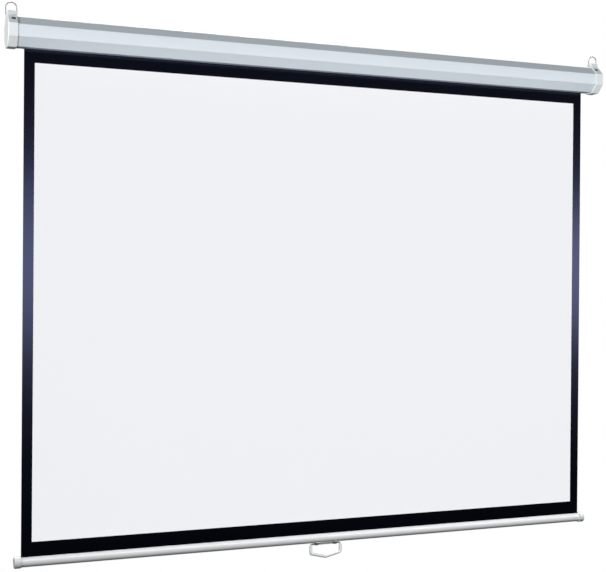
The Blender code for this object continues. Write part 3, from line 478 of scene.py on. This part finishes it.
# %% Piece makers
def pulled_sheet(name, path, thickness, stations):
    """Sheet along a path in the YZ plane, pulled along X: the path moved half a thickness either way."""
    outline = np.concatenate([sideways(path, thickness / 2), sideways(path, -thickness / 2)[::-1]])
    x = np.repeat(np.asarray(stations, float)[:, None], len(outline), 1)
    y, z = (np.repeat(outline[None, :, axis], len(stations), 0) for axis in (0, 1))
    return place_piece(lay_grid(name, np.stack([x, y, z], -1), wrap=True, ends=True))


def turned(name, outline, centre, segments=72):
    """An outline of places along X and radii, spun round the X line through centre."""
    outline = np.asarray(outline, float)
    angle = np.linspace(0, math.tau, segments, endpoint=False)
    x = np.repeat(outline[:, :1], segments, 1)
    y = centre[0] + outline[:, 1:] * np.cos(angle)
    z = centre[1] + outline[:, 1:] * np.sin(angle)
    return place_piece(lay_grid(name, np.stack([x, y, z], -1), wrap=True))


def wire_along(name, path, radius, y, sides=20, closed=False):
    """A round wire along a path in the XZ plane at one depth y. Its ring at each point lies square to the
    path: one spoke along Y and the other along the path's own square."""
    path = np.asarray(path, float)
    if closed:
        ahead = np.roll(path, -1, 0) - np.roll(path, 1, 0)
    else:
        ahead = np.gradient(path, axis=0)
    ahead /= np.linalg.norm(ahead, axis=1)[:, None]
    square = np.stack([-ahead[:, 1], ahead[:, 0]], 1)
    angle = np.linspace(0, math.tau, sides, endpoint=False)
    size = np.broadcast_to(np.asarray(radius, float), len(path))[:, None]
    x = path[:, :1] + size * np.cos(angle) * square[:, :1]
    z = path[:, 1:] + size * np.cos(angle) * square[:, 1:]
    depth = y + size * np.sin(angle)
    points = np.stack([x, depth, z], -1)
    if closed:
        points = np.concatenate([points, points[:1]])
    return place_piece(lay_grid(name, points, wrap=True, ends=not closed))


# %% [markdown]
# ## The slot in each cap
# The photograph shows a small black mark on the upper front side of each end cap. What it is can't be told
# from the picture. It is taken here for a slot through the cap's wall, with a dark piece set in it. That dark
# fill is painted shade: an open slot would catch the light from the front, and the dark piece makes it read
# black as deep shade would. Rays through this lesson's camera, moved up by the one pixel that the
# photograph's outline lies lower there, put the left mark 10 mm down that side and the right one 17 mm, so a
# mirrored pair stands at their mean. The light missing in the marks would fill about 90 square millimetres on
# the left and 140 on the right, and the slot's size is a guess from that. Slot and dark fill are one rounded
# rectangle in the plane of that side, carried along the side's own square, and the fill is slightly smaller.
# The cut stops a tenth of a millimetre outside the casing's sheet, and the fill three tenths.

# %% Shape the slots' cutters and the dark fills that stand for their shade
SLOT_X = 0.9145
SLOT_WIDTH = 0.0110
SLOT_HEIGHT = 0.0090
SLOT_DOWN = 0.0136
SLOT_CORNER = 0.001
SLOT_OUT = 0.001
SLOT_STOP = 0.0001
SHADE_FILL_GAP = 0.0002
SHADE_FILL_SINK = 0.0001
SHADE_FILL_STOP = 0.0003
SIDE_SHARE = math.tan(math.radians(22.5))

cap_low, cap_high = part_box("end_cap_left")
cap_half = -cap_low.z
cap_y = (cap_low.y + cap_high.y) / 2
cap_corner = cap_half * SIDE_SHARE
to_sheet = cap_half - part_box("casing")[1].z


def slot_block(name, x, rings):
    """Each ring is the slot's outline, drawn in by a margin. A point lies at the side's top edge, plus its
    way down the side, plus the ring's height along the side's square."""
    wide, high = SLOT_WIDTH / 2 - SLOT_CORNER, SLOT_HEIGHT / 2 - SLOT_CORNER
    centres = np.array([(wide, high), (-wide, high), (-wide, -high), (wide, -high)])
    turns = zip(centres, (0.0, 90.0, 180.0, 270.0))
    outline = np.concatenate([arc(centre, SLOT_CORNER, turn, turn + 90.0, 5) for centre, turn in turns])
    inwards = np.repeat(np.sign(centres), len(outline) // 4, axis=0)
    lift, margin = np.array(rings, float).T[:, :, None]
    across = x + outline[:, 0] - margin * inwards[:, 0]
    down = (SLOT_DOWN + outline[:, 1] - margin * inwards[:, 1]) / math.sqrt(2.0)
    y = cap_y - cap_corner - down - lift / math.sqrt(2.0)
    z = cap_half - down + lift / math.sqrt(2.0)
    return place_piece(lay_grid(name, np.stack([across, y, z], -1), wrap=True, ends=True), smooth=False)


def carve(piece, cutter):
    """The piece's mesh with the cutter's space taken out of it by an exact Boolean. The cutter's flat map
    comes along, and is dropped: the caps' finish reads no map."""
    cut = piece.modifiers.new("slot", "BOOLEAN")
    cut.operation, cut.solver, cut.object = "DIFFERENCE", "EXACT", cutter
    bpy.context.view_layer.update()
    mesh = bpy.data.meshes.new_from_object(piece.evaluated_get(bpy.context.evaluated_depsgraph_get()))
    while mesh.uv_layers:
        mesh.uv_layers.remove(mesh.uv_layers[0])
    piece.modifiers.clear()
    piece.data = mesh
    mesh.name = piece.name


through = [(SLOT_OUT, 0.0), (SLOT_STOP - to_sheet, 0.0)]
filled = [(SHADE_FILL_STOP - to_sheet, SHADE_FILL_GAP), (-2 * SHADE_FILL_SINK, SHADE_FILL_GAP),
          (-SHADE_FILL_SINK, SHADE_FILL_GAP + SHADE_FILL_SINK)]
cutters = {}
for side, sign in (("left", -1), ("right", 1)):
    cutters[side] = slot_block("slot_" + side, sign * SLOT_X, through)
    # The dark fill is painted shade: a dark piece that makes the slot read black.
    shade_fill = slot_block("slot_catch_" + side, sign * SLOT_X, filled)
    shade_fill.data.materials.append(plug_plastic)
    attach(shade_fill, "casing")
print("slots %.1f by %.1f mm" % (SLOT_WIDTH * 1000, SLOT_HEIGHT * 1000))

# %% [markdown]
# ## The casing
# The casing is taken to be steel sheet, rolled into eight sides with small round bends. Light catches on
# those bends as thin bright lines, which flat facets with sharp corners can't show. Smooth shading alone
# would tilt the flat sides' light towards the bends, so the normals are weighted by area and the sides stay
# flat. The casing stays open along a lipped slot below, a little towards the wall, where the cloth comes out.
# The rear lip stands only 1.3 mm from the next bend, so both of these are tighter than the rest, or the sheet
# would fold over itself.

# %% Roll the casing
SHEET = 0.001
BEND = 0.0024
REAR_BEND = 0.0015
LIP_BEND = 0.00065
SLOT_HALF = 0.003
LIP = 0.005

casing_low, casing_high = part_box("casing")
picture_low, picture_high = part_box("screen_cloth")
axis_y = (casing_low.y + casing_high.y) / 2
cloth_y = (picture_low.y + picture_high.y) / 2
half = (casing_high.z - casing_low.z) / 2 - SHEET / 2
corner = half * SIDE_SHARE
octagon = [(corner, -half), (half, -corner), (half, corner), (corner, half),
           (-corner, half), (-half, corner), (-half, -corner), (-corner, -half)]
rear = cloth_y + SLOT_HALF + SHEET / 2
front = cloth_y - SLOT_HALF - SHEET / 2
lip_top = casing_low.z + LIP
shell_path = [(rear, lip_top), (rear, -half)] + [(axis_y + y, z) for y, z in octagon]
shell_path += [(front, -half), (front, lip_top)]
bends = np.array([LIP_BEND, REAR_BEND] + [BEND] * 7 + [LIP_BEND])
shell_path = rounded(shell_path, bends, 7)
casing_shell = pulled_sheet("casing_shell", shell_path, SHEET, (casing_low.x, 0.0, casing_high.x))
casing_shell.modifiers.new("flat_sides", "WEIGHTED_NORMAL").keep_sharp = True
dress(casing_shell, casing_coat, "casing", "casing_paint", "casing")

# %% [markdown]
# ## The end caps
# Each cap is one moulding: a cup over the casing's end, a lug on top for the bail, and a boss inside for the
# roller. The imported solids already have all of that. A copy has its loose triangles joined and its flat
# faces made whole, the slot is cut, and a bevel then rounds the edges as a mould would. The rim of the cup
# is rounded most. That is a guess from the photograph, where the right cap's rim is bright.

# %% Soften the caps' edges
EDGE_ROUNDING = 0.0005
RIM_ROUNDING = 0.0012
ROUND_ABOVE_DEG = 40.0
JOIN_NEAR = 0.000005
FLAT_DEG = 1.0
RIM_NEAR = 0.0001
OUTER_NEAR = 0.0002


def softened(name, node, cutter):
    """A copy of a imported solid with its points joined, flat faces made whole, a slot cut and edges rounded.
    An edge's share of the rounding is 1 on the rim's outer edge, 0 on its inner edge, and small elsewhere."""
    source = frame["nodes"][node].data
    places = np.zeros(len(source.vertices) * 3)
    source.vertices.foreach_get("co", places)
    corners = np.zeros(len(source.polygons) * 3, int)
    source.polygons.foreach_get("vertices", corners)
    mesh = bpy.data.meshes.new(name)
    mesh.from_pydata(places.reshape(-1, 3).tolist(), [], corners.reshape(-1, 3).tolist())
    work = bmesh.new()
    work.from_mesh(mesh)
    bmesh.ops.remove_doubles(work, verts=work.verts, dist=JOIN_NEAR)
    bmesh.ops.dissolve_limit(work, angle_limit=math.radians(FLAT_DEG), verts=work.verts, edges=work.edges)
    work.to_mesh(mesh)
    work.free()
    piece = place_piece(mesh, smooth=False)
    carve(piece, cutter)
    mesh = piece.data
    mesh.set_sharp_from_angle(angle=math.radians(ROUND_ABOVE_DEG))
    count = len(mesh.edges)
    places = np.zeros(len(mesh.vertices) * 3)
    mesh.vertices.foreach_get("co", places)
    x, y, z = np.abs(places.reshape(-1, 3) - (0.0, cap_y, 0.0)).T
    on_rim = x < x[z > cap_half - RIM_NEAR].min() + RIM_NEAR
    outer = np.maximum(np.maximum(y, z), (y + z) / math.sqrt(2.0)) > cap_half - OUTER_NEAR
    pairs = np.zeros(count * 2, int)
    mesh.edges.foreach_get("vertices", pairs)
    pairs = pairs.reshape(-1, 2)
    sharp = np.zeros(count, bool)
    mesh.attributes["sharp_edge"].data.foreach_get("value", sharp)
    along_rim = on_rim[pairs].all(1)
    share = np.where(along_rim, np.where(outer[pairs].all(1), 1.0, 0.0), EDGE_ROUNDING / RIM_ROUNDING) * sharp
    weights = mesh.attributes.new("bevel_weight_edge", "FLOAT", "EDGE")
    weights.data.foreach_set("value", share.astype(np.float32))
    mesh.shade_smooth()
    mesh.set_sharp_from_angle(angle=math.radians(SHARP_DEG))
    bevel = piece.modifiers.new("rounded_edges", "BEVEL")
    bevel.width = RIM_ROUNDING
    bevel.segments = 4
    bevel.limit_method = "WEIGHT"
    bevel.harden_normals = True
    print("%-22s %d edges rounded, %d of them on the rim" % (name, (share > 0).sum(), (share == 1).sum()))
    return piece


for side in ("left", "right"):
    cap = softened("cap_moulding_" + side, "end_cap_" + side, cutters[side])
    dress(cap, cap_plastic, "casing", "cap_plastic", "end_cap_" + side)
    bpy.data.objects.remove(cutters[side])

# %% [markdown]
# ## The bails
# The screen hangs from two loops of bright wire, taken to be plated steel. Each is one length, bent into a
# round crown with straight legs, and its two feet turn inwards into the lug, where they hinge.

# %% Bend the bails
BAIL_RADIUS = 0.0014
FOOT_BEND = 0.0022
FOOT_LENGTH = 0.005
FOOT_PLAY = 0.0005

for side in ("left", "right"):
    low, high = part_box("bail_" + side)
    near, far = low.x + BAIL_RADIUS, high.x - BAIL_RADIUS
    middle, crown_radius = (near + far) / 2, (far - near) / 2
    foot = low.z + BAIL_RADIUS
    crown = high.z - BAIL_RADIUS - crown_radius
    path = np.concatenate([
        [(near + FOOT_LENGTH + FOOT_PLAY, foot)],
        arc((near + FOOT_BEND, foot + FOOT_BEND), FOOT_BEND, 270.0, 180.0, 8),
        arc((middle, crown), crown_radius, 180.0, 0.0, 40),
        arc((far - FOOT_BEND, foot + FOOT_BEND), FOOT_BEND, 0.0, -90.0, 8),
        [(far - FOOT_LENGTH - FOOT_PLAY, foot)],
    ])
    loop = wire_along("bail_wire_" + side, path, BAIL_RADIUS, (low.y + high.y) / 2)
    dress(loop, bail_wire, "bail_" + side, "bail_wire", "bail_" + side)

# %% [markdown]
# ## The hanging cloth
# White picture and black border are one sheet, kept as separate pieces so that each has its own finish. The
# bar's weight keeps the sheet almost flat. Hanging cloth still tends to have slow waves and a slight curl at
# its long edges. Both are kept well under a millimetre here, which is a guess. One formula gives the depth at
# every place, and every piece of the sheet reads it. They meet edge to edge.

# %% Hang the picture and its border
CLOTH_THICKNESS = 0.0004
WAVE = 0.00035
WAVE_ACROSS = 7.3
WAVE_SHIFT = 0.6
BEAT_ACROSS = 2.9
BEAT_DOWN = 1.7
CURL = 0.0005
CURL_REACH = 0.045

edge_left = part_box("mask_left")[0].x
edge_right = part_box("mask_right")[1].x
picture_top, picture_bottom = picture_high.z, picture_low.z


def cloth_depth(x, z):
    """How far the cloth lies from its plane: slow waves along X and a curl near the long edges, both fading
    to nothing at the roller and at the bar as a half sine."""
    hold = np.sin(np.pi * np.clip(z / picture_bottom, 0, 1))
    waves = WAVE * np.sin(x * WAVE_ACROSS + WAVE_SHIFT) * np.sin(x * BEAT_ACROSS - z * BEAT_DOWN)
    near_edge = np.minimum(x - edge_left, edge_right - x)
    curl = CURL * np.exp(-near_edge / CURL_REACH)
    return hold * (waves - curl)


def hung(name, x_from, x_to, z_from, z_to, columns, rows):
    """A stretch of the cloth as a closed strip: each row runs along the front, half a thickness before the
    cloth's middle, and back along the rear, half a thickness behind it."""
    x, z = np.meshgrid(np.linspace(x_from, x_to, columns + 1), np.linspace(z_from, z_to, rows + 1))
    y = cloth_y + cloth_depth(x, z)
    front = np.stack([x, y - CLOTH_THICKNESS / 2, z], -1)
    rear = np.stack([x, y + CLOTH_THICKNESS / 2, z], -1)[:, ::-1]
    return place_piece(lay_grid(name, np.concatenate([front, rear], 1), wrap=True, ends=True))


height = (picture_top, picture_bottom)
stretches = [
    ("picture_cloth", "screen_cloth", "cloth_white", picture_low.x, picture_high.x, *height, 120, 80),
    ("border_left", "mask_left", "cloth_black", edge_left, picture_low.x, *height, 6, 80),
    ("border_right", "mask_right", "cloth_black", picture_high.x, edge_right, *height, 6, 80),
    ("border_top", "mask_top", "cloth_black", edge_left, edge_right, 0.0, picture_top, 132, 8),
]
cloths = []
for name, node, slot, x_from, x_to, z_from, z_to, columns, rows in stretches:
    piece = hung(name, x_from, x_to, z_from, z_to, columns, rows)
    flat = (x_to - x_from, z_from - z_to)
    around = (2 * flat[0], flat[1])
    colour, depth = (CLOTH_WHITE, FACE_RELIEF) if slot == "cloth_white" else (BORDER_INK, FINE_RELIEF)
    roughness, shine = ROUGHNESS_AND_SHINE[slot]
    look = woven(name + "_weave", colour, roughness, around, depth, shine)
    dress(piece, look, "casing", slot, node)
    cloths.append(piece)

# %% [markdown]
# ## The cloth on the roller and in the hem
# One and a half turns of cloth never leave the roller, so its end, wedged in the roller's groove, carries
# little load. At the bottom the border runs through the bar's slot and loops round a plastic rod that is too
# thick to slip back out. Both are thin sheet along a path: a spiral, and a straight run with a loop.

# %% Wind the last turns and loop the hem
TURNS = 1.5
PITCH = 0.0008
WOUND_START = 0.0185
GROOVE_TAIL = 0.0012
GROOVE_DEPTH = 0.002
HEM_LOOP_DEG = 340.0

roller_low, roller_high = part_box("roller_tube")
roller_y = (roller_low.y + roller_high.y) / 2
roller_radius = (roller_high.z - roller_low.z) / 2
start_deg = 180.0 - math.degrees(math.asin(GROOVE_TAIL / WOUND_START))
share = np.linspace(0, 1, 145)
angle = np.radians(start_deg - (start_deg + 360.0 * (TURNS - 0.5)) * share)
wound = WOUND_START + PITCH * TURNS * share
spiral = np.stack([roller_y + wound * np.cos(angle), wound * np.sin(angle)], 1)
spiral = np.concatenate([[(roller_y - roller_radius + GROOVE_DEPTH, GROOVE_TAIL)], spiral])


def length_of(path):
    """The sum of a path's straight steps."""
    return float(np.linalg.norm(np.diff(path, axis=0), axis=1).sum())


def carried_cloth(name, path, node, slot, body, colour):
    """A sheet along a path in the YZ plane, as wide as the cloth, with its cut size printed."""
    piece = pulled_sheet(name, path, CLOTH_THICKNESS, np.linspace(edge_left, edge_right, 25))
    flat = (edge_right - edge_left, length_of(path))
    roughness, shine = ROUGHNESS_AND_SHINE[slot]
    look = woven(name + "_weave", colour, roughness, (2 * flat[1], flat[0]), FINE_RELIEF, shine)
    dress(piece, look, body, slot, node)
    print("%-22s cut %.4f by %.4f m" % (name, *flat))


carried_cloth("cloth_turns", spiral, "cloth_on_roller", "cloth_white", "roller", WOUND_WHITE)

rod_low, rod_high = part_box("hem_rod")
rod_centre = ((rod_low.y + rod_high.y) / 2, (rod_low.z + rod_high.z) / 2)
loop_radius = abs(rod_centre[0] - cloth_y)
hem_loop = arc(rod_centre, loop_radius, 180.0, 180.0 + HEM_LOOP_DEG, 60)
hem_path = np.concatenate([[(cloth_y, picture_bottom)], hem_loop])
carried_cloth("border_hem", hem_path, "mask_bottom", "cloth_black", "bottom_bar", BORDER_INK)

# %% [markdown]
# ## The bottom bar
# The bar is taken to be a round steel tube with a slot along its crown, coated like the casing. Its ends
# are closed by cups with a rounded rim and a shallow dish. The photograph has a fine dark line near each end
# of the bar. The cup's step up from the tube and a groove by its mouth stand for that line.

# %% Make the bar and its end cups
BAR_SLOT = 0.0022
CUP_WALL = 0.003
CUP_ROUNDING = 0.003
CUP_DISH = 0.001
CUP_GROOVE = 0.0008
CUP_CHAMFER = 0.0004
FIT = 0.0003

tube_low, tube_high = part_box("bottom_bar")
bar_radius = (tube_high.y - tube_low.y) / 2
bar_axis = ((tube_low.y + tube_high.y) / 2, tube_low.z + bar_radius)
wall_radius = bar_radius - SHEET / 2
edge_deg = math.degrees(math.asin((BAR_SLOT / 2) / wall_radius))
bar_path = arc(bar_axis, wall_radius, 90.0 + edge_deg, 450.0 - edge_deg, 96)
bar_tube = pulled_sheet("bar_tube", bar_path, SHEET, (tube_low.x, 0.0, tube_high.x))
dress(bar_tube, bar_coat, "bottom_bar", "bar_paint", "bottom_bar")

for side, sign in (("left", -1), ("right", 1)):
    low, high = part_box("bar_cap_" + side)
    mouth, end = sorted((abs(low.x), abs(high.x)))
    radius = (high.z - low.z) / 2
    inner = bar_radius + FIT
    dish = radius - CUP_ROUNDING - CUP_DISH
    outline = np.concatenate([
        [(end - CUP_WALL, 0.0), (end - CUP_WALL, inner), (mouth, inner), (mouth, radius - CUP_CHAMFER)],
        [(mouth + CUP_CHAMFER, radius), (mouth + CUP_GROOVE, radius),
         (mouth + CUP_GROOVE, radius - CUP_GROOVE), (mouth + 2 * CUP_GROOVE, radius - CUP_GROOVE),
         (mouth + 2 * CUP_GROOVE, radius)],
        arc((end - CUP_ROUNDING, radius - CUP_ROUNDING), CUP_ROUNDING, 90.0, 0.0, 10),
        [(end, dish), (end - CUP_DISH, dish - CUP_DISH), (end - CUP_DISH, 0.0)],
    ])
    outline[:, 0] *= sign
    cup = turned("bar_cup_" + side, outline, bar_axis)
    dress(cup, bar_cap_plastic, "bottom_bar", "bar_cap_plastic", "bar_cap_" + side)

# %% [markdown]
# ## The pull handle
# The handle is a six sided ring with a point at the bottom, taken to be moulded in pale plastic. Its top bar
# is slimmer where the two straps hold it, so that it can swing but not slide. The path is a polygon with
# round corners. Its radius swells from the slim neck to the full ring as the path drops away from the line
# that it swings on, or the ring would hit the bar when it is swung up.

# %% Mould the handle
RING_RADIUS = 0.0043
NECK_RADIUS = 0.0025
RING_CORNER = 0.006
SIDE_DROP = 0.0237
NECK_POINTS = 13

low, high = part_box("pull_handle")
ring_half = (high.x - low.x) / 2 - RING_RADIUS
pivot_z = joints["handle_swing"]["pos_m"][2]
point_low = low.z - pivot_z + RING_RADIUS
slope_deg = math.degrees(math.atan2(-SIDE_DROP - point_low, ring_half))
slope = math.radians(slope_deg)
upper = arc((ring_half - RING_CORNER, -RING_CORNER), RING_CORNER, 90.0, 0.0, 12)
lower_centre = (ring_half - RING_CORNER, -SIDE_DROP + RING_CORNER * math.tan(slope / 2))
lower = arc(lower_centre, RING_CORNER, 0.0, -90.0 + slope_deg, 12)
point_centre = (0.0, point_low + RING_CORNER / math.cos(slope))
point = arc(point_centre, RING_CORNER, -90.0 + slope_deg, -90.0 - slope_deg, 10)
right_side = np.concatenate([upper, lower])
left_side = right_side[::-1] * (-1, 1)
neck = ring_half - RING_CORNER - RING_RADIUS
top_run = np.stack([np.linspace(-neck, neck, NECK_POINTS), np.zeros(NECK_POINTS)], 1)
ring_path = np.concatenate([top_run, right_side, point, left_side])
swell = np.clip(-ring_path[:, 1] / RING_CORNER, 0, 1)
swell = swell * swell * (3 - 2 * swell)
ring_path = ring_path + (0.0, pivot_z)
ring_size = NECK_RADIUS + (RING_RADIUS - NECK_RADIUS) * swell
ring = wire_along("pull_ring", ring_path, ring_size, cloth_y, 28, closed=True)
dress(ring, handle_plastic, "pull_handle", "handle_plastic", "pull_handle")

# %% [markdown]
# ## The straps
# Two strips pass round the handle's neck and lie against the bar, where a rivet in front and one behind hold
# each. The photograph shows only dark marks there, so their shape and their plated steel are guesses. The
# packed strips follow the bar in short straight steps, so they are bent again here as one smooth line.

# %% Bend the straps
STRAP_WRAP_DEG = 40.0
STRAP_THICKNESS = 0.001

seat = bar_radius + FIT + STRAP_THICKNESS / 2
neck_loop = NECK_RADIUS + FIT + STRAP_THICKNESS / 2
meet_deg = math.degrees(math.asin(neck_loop / seat))
strap_path = np.concatenate([
    arc(bar_axis, seat, -90.0 - STRAP_WRAP_DEG, -90.0 - meet_deg, 12),
    arc((cloth_y, pivot_z), neck_loop, 180.0, 360.0, 24),
    arc(bar_axis, seat, -90.0 + meet_deg, -90.0 + STRAP_WRAP_DEG, 12),
])
for side in ("left", "right"):
    low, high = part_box("handle_strap_" + side)
    stations = (low.x, (low.x + high.x) / 2, high.x)
    strap = pulled_sheet("strap_band_" + side, strap_path, STRAP_THICKNESS, stations)
    dress(strap, strap_steel, "bottom_bar", "strap_steel", "handle_strap_" + side)

# %% [markdown]
# ## What stays as it was packed
# The roller, the spring, the ratchet and the small fasteners keep the shape that they were packed with. They
# only need the finish that they would have in the workshop, which is a guess for every one of them.

# %% Finish the mechanism and the fasteners
FINISHES = {
    "cap_screw_left_upper": screw_steel, "cap_screw_left_lower": screw_steel,
    "cap_screw_right_upper": screw_steel, "cap_screw_right_lower": screw_steel,
    "roller_tube": roller_steel, "cloth_spline": rod_plastic, "hem_rod": rod_plastic,
    "spring_plug": plug_plastic, "idle_plug": plug_plastic, "idle_pin": pin_steel, "idle_bush": bush_nylon,
    "spindle_bush": bush_nylon, "spindle": spindle_steel, "ratchet_wheel": ratchet_steel,
    "retaining_clip": clip_steel, "pawl_1": pawl_steel, "pawl_2": pawl_steel,
    "pawl_pin_1": pin_steel, "pawl_pin_2": pin_steel, "torsion_spring": spring_steel,
    "spring_anchor": anchor_zinc, "strap_rivet_left_front": strap_steel, "strap_rivet_left_back": strap_steel,
    "strap_rivet_right_front": strap_steel, "strap_rivet_right_back": strap_steel,
}
for name, look in FINISHES.items():
    for place in frame["nodes"][name].material_slots:
        place.material = look
left_over = [name for name, node in frame["nodes"].items() if not node.hide_render and name not in FINISHES]
print("nodes finished as packed: %d, without a finish: %s" % (len(FINISHES), left_over or "none"))

# %% [markdown]
# ## The cloth as the screen goes up
# On the real screen the cloth winds up behind the slot. A mesh can't wind with one slide. Here each hanging
# piece only gets a mesh of its own, and the share of its height that it would keep with the bar at the top is
# printed.

# %% Give each hanging piece its own mesh
cloth_keep = 1.0 - joints["screen_slide"]["range_m"][1] / -picture_bottom
for piece in cloths:
    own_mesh(piece)
print("the cloth keeps %.4f of its height" % cloth_keep)

# %% [markdown]
# ## The studio
# The photograph is a cut out product picture on pure white, and how it was lit isn't known. No one soft
# light gives all of its shades at once. Lights can be told which pieces they reach, so each part has its
# own, set until that part comes near the picture. Its shades suggest where some of them stand.
#
# - The casing has one far to the left, since a dark band beside the left cap looks like that cap's shadow,
#   one low in front, and one higher for its sheen. The caps have one more in front.
# - The bails have a band at one height, since their wire is bright where it stands upright.
# - The border's ink mirrors a narrow one.
# - The bar has one from above, one from the left and one from the floor.
# - The handle has a small one from above on the left and a low band in front.
# - One at either side lights the caps' ends and the bar's right cup. Of these ends the picture shows only the
#   left cap's. One high behind keeps the back readable.


# %% Build the lights, the backdrop and the floor
def reach_of(name, pieces):
    """A collection of the pieces that a light reaches."""
    reached = bpy.data.collections.new(name)
    for piece in pieces:
        reached.objects.link(piece)
    return reached


def soft_light(name, place, target, size, watts, reached=None):
    """A rectangular light that faces its target and that the camera doesn't see."""
    lamp = bpy.data.lights.new(name, "AREA")
    lamp.shape = "RECTANGLE"
    lamp.size, lamp.size_y = size
    lamp.energy = watts
    light = bpy.data.objects.new(name, lamp)
    light.location = place
    light.rotation_euler = (Vector(target) - Vector(place)).to_track_quat("-Z", "Y").to_euler()
    light.visible_camera = False
    bpy.context.scene.collection.objects.link(light)
    if reached:
        light.light_linking.receiver_collection = reached


def far_light(name, turn_deg, rise_deg, strength, reached):
    """A light so far away that it is even along the screen. turn_deg is its way round from straight in front,
    to the right, and rise_deg its height. It is five degrees across, which softens the edge of a shadow."""
    lamp = bpy.data.lights.new(name, "SUN")
    lamp.energy = strength
    lamp.angle = math.radians(5.0)
    light = bpy.data.objects.new(name, lamp)
    turn, rise = math.radians(turn_deg), math.radians(rise_deg)
    towards = Vector((math.sin(turn) * math.cos(rise), -math.cos(turn) * math.cos(rise), math.sin(rise)))
    light.rotation_euler = towards.to_track_quat("Z", "Y").to_euler()
    bpy.context.scene.collection.objects.link(light)
    light.light_linking.receiver_collection = reached


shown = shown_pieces()


def named(*starts):
    """The shown pieces whose names start with one of these."""
    return [piece for piece in shown if piece.name.startswith(starts)]


groups = {
    "bail": named("bail_"),
    "cap": named("cap_moulding", "slot_catch"),
    "shell": named("casing_", "cap_screw"),
    "border": named("border_"),
    "bar": [o for o in shown if body_of(o) == ["bottom_bar"] and o.name != "border_hem"],
    "tube": named("bar_tube", "bar_cup"),
    "ring": named("pull_ring"),
    "end": named("cap_moulding", "bar_cup_right"),
}
groups["casing"] = groups["shell"] + groups["cap"]
lit_apart = groups["bail"] + groups["casing"] + groups["border"] + groups["bar"] + groups["ring"]
groups["rest"] = [o for o in shown if o not in lit_apart]
reach = {name: reach_of("reached_%s" % name, pieces) for name, pieces in groups.items()}

soft_light("key", (0.2, -7.0, -0.64), (0.2, 0.0, -0.64), (16.0, 2.4), 800.0, reach["rest"])
soft_light("casing_light", (1.2, -7.0, -2.1), (0.4, 0.0, 0.0), (16.0, 1.0), 280.0, reach["shell"])
soft_light("casing_sheen", (-0.5, -7.0, 1.36), (0.0, 0.0, 0.0), (14.4, 0.3), 104.0, reach["shell"])
far_light("casing_left", -56.0, -5.5, 2.25, reach["casing"])
soft_light("caps_front", (-1.2, -7.0, 0.0), (-0.2, 0.0, 0.0), (10.0, 1.0), 340.0, reach["cap"])
soft_light("bail_band", (0.2, -7.0, 1.45), (0.2, 0.0, 0.06), (16.0, 1.0), 230.0, reach["bail"])
soft_light("border_light", (0.4, -4.2, -0.55), (0.4, 0.0, -0.55), (10.0, 0.9), 183.0, reach["border"])
soft_light("bar_light", (0.9, -2.25, 1.35), (0.75, 0.0, -1.4), (5.5, 0.6), 150.0, reach["bar"])
far_light("bar_left", -66.0, 8.0, 1.2, reach["tube"])
soft_light("from_the_floor", (0.0, -0.5, -3.3), (0.0, -0.5, 0.0), (7.0, 3.0), 4.0, reach["bar"])
soft_light("ring_light", (-0.69, -1.89, 0.79), (0.0, 0.0, -1.44), (0.5, 0.5), 105.0, reach["ring"])
soft_light("ring_sheen", (0.5, -7.0, -3.05), (0.0, 0.0, -1.44), (16.0, 0.3), 150.0, reach["ring"])
soft_light("left_end", (-4.0, 0.0, -0.4), (0.0, 0.0, -0.4), (1.5, 1.5), 40.0, reach["end"])
soft_light("right_end", (4.0, 0.0, -0.4), (0.0, 0.0, -0.4), (1.5, 1.5), 58.0, reach["end"])
soft_light("back", (0.0, 4.5, 4.2), (0.0, 0.0, -0.7), (6.0, 1.5), 420.0)

world = bpy.data.worlds.new("studio")
world.use_nodes = True
bpy.context.scene.world = world
backdrop = Wire(world.node_tree)
seen = backdrop.node("LightPath", output="Is Camera Ray")
weak = backdrop.node("Background", {}, {"Color": (0.92, 0.95, 1.0, 1.0), "Strength": 0.03})
white = backdrop.node("Background", {}, {"Color": (1.0, 1.0, 1.0, 1.0), "Strength": 1.0})
both = backdrop.node("MixShader", {}, {0: seen, 1: weak, 2: white})
world.node_tree.links.new(both.socket, world.node_tree.nodes["World Output"].inputs["Surface"])

FLOOR_HEIGHT = -3.4
FLOOR_RADIUS = 6.8
FLOOR_RINGS = 9
FLOOR_STEPS = 96
ring_share = np.linspace(0, 1, FLOOR_RINGS)[:, None]
turn = np.linspace(0, math.tau, FLOOR_STEPS, endpoint=False)[None]
disc = np.stack([FLOOR_RADIUS * ring_share * np.cos(turn), FLOOR_RADIUS * ring_share * np.sin(turn),
                 np.full((FLOOR_RINGS, FLOOR_STEPS), FLOOR_HEIGHT)], -1)
floor = place_piece(lay_grid("studio_floor", disc, wrap=True, outwards=False), smooth=False)
floor_look, floor_shader, wire = start_finish("pale_floor", {"Roughness": 0.9, "Specular IOR Level": 0.1})
tone = speckle(wire, 0.8, 2.0)
feed(floor_shader, tone.mix((0.80, 0.80, 0.80, 1.0), (0.82, 0.82, 0.82, 1.0)), "Base Color")
floor_shader.inputs["Emission Color"].default_value = (1.0, 1.0, 1.0, 1.0)
floor_shader.inputs["Emission Strength"].default_value = 0.55
floor.data.materials.append(floor_look)
floor.visible_diffuse = False
floor.visible_glossy = False
floor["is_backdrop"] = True
bpy.context.scene.view_settings.view_transform = "Standard"
print("lights: %d" % len(bpy.data.lights))
print("pieces in each group:", {name: len(pieces) for name, pieces in groups.items()})

# %% [markdown]
# ## The dressed screen's box
# The box round every shown piece is printed. The dressed screen has to stay in the
# imported model's box.

# %% Print the dressed screen's box
low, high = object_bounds()
print("visual box", [round(v, 4) for v in (*low, *high)])
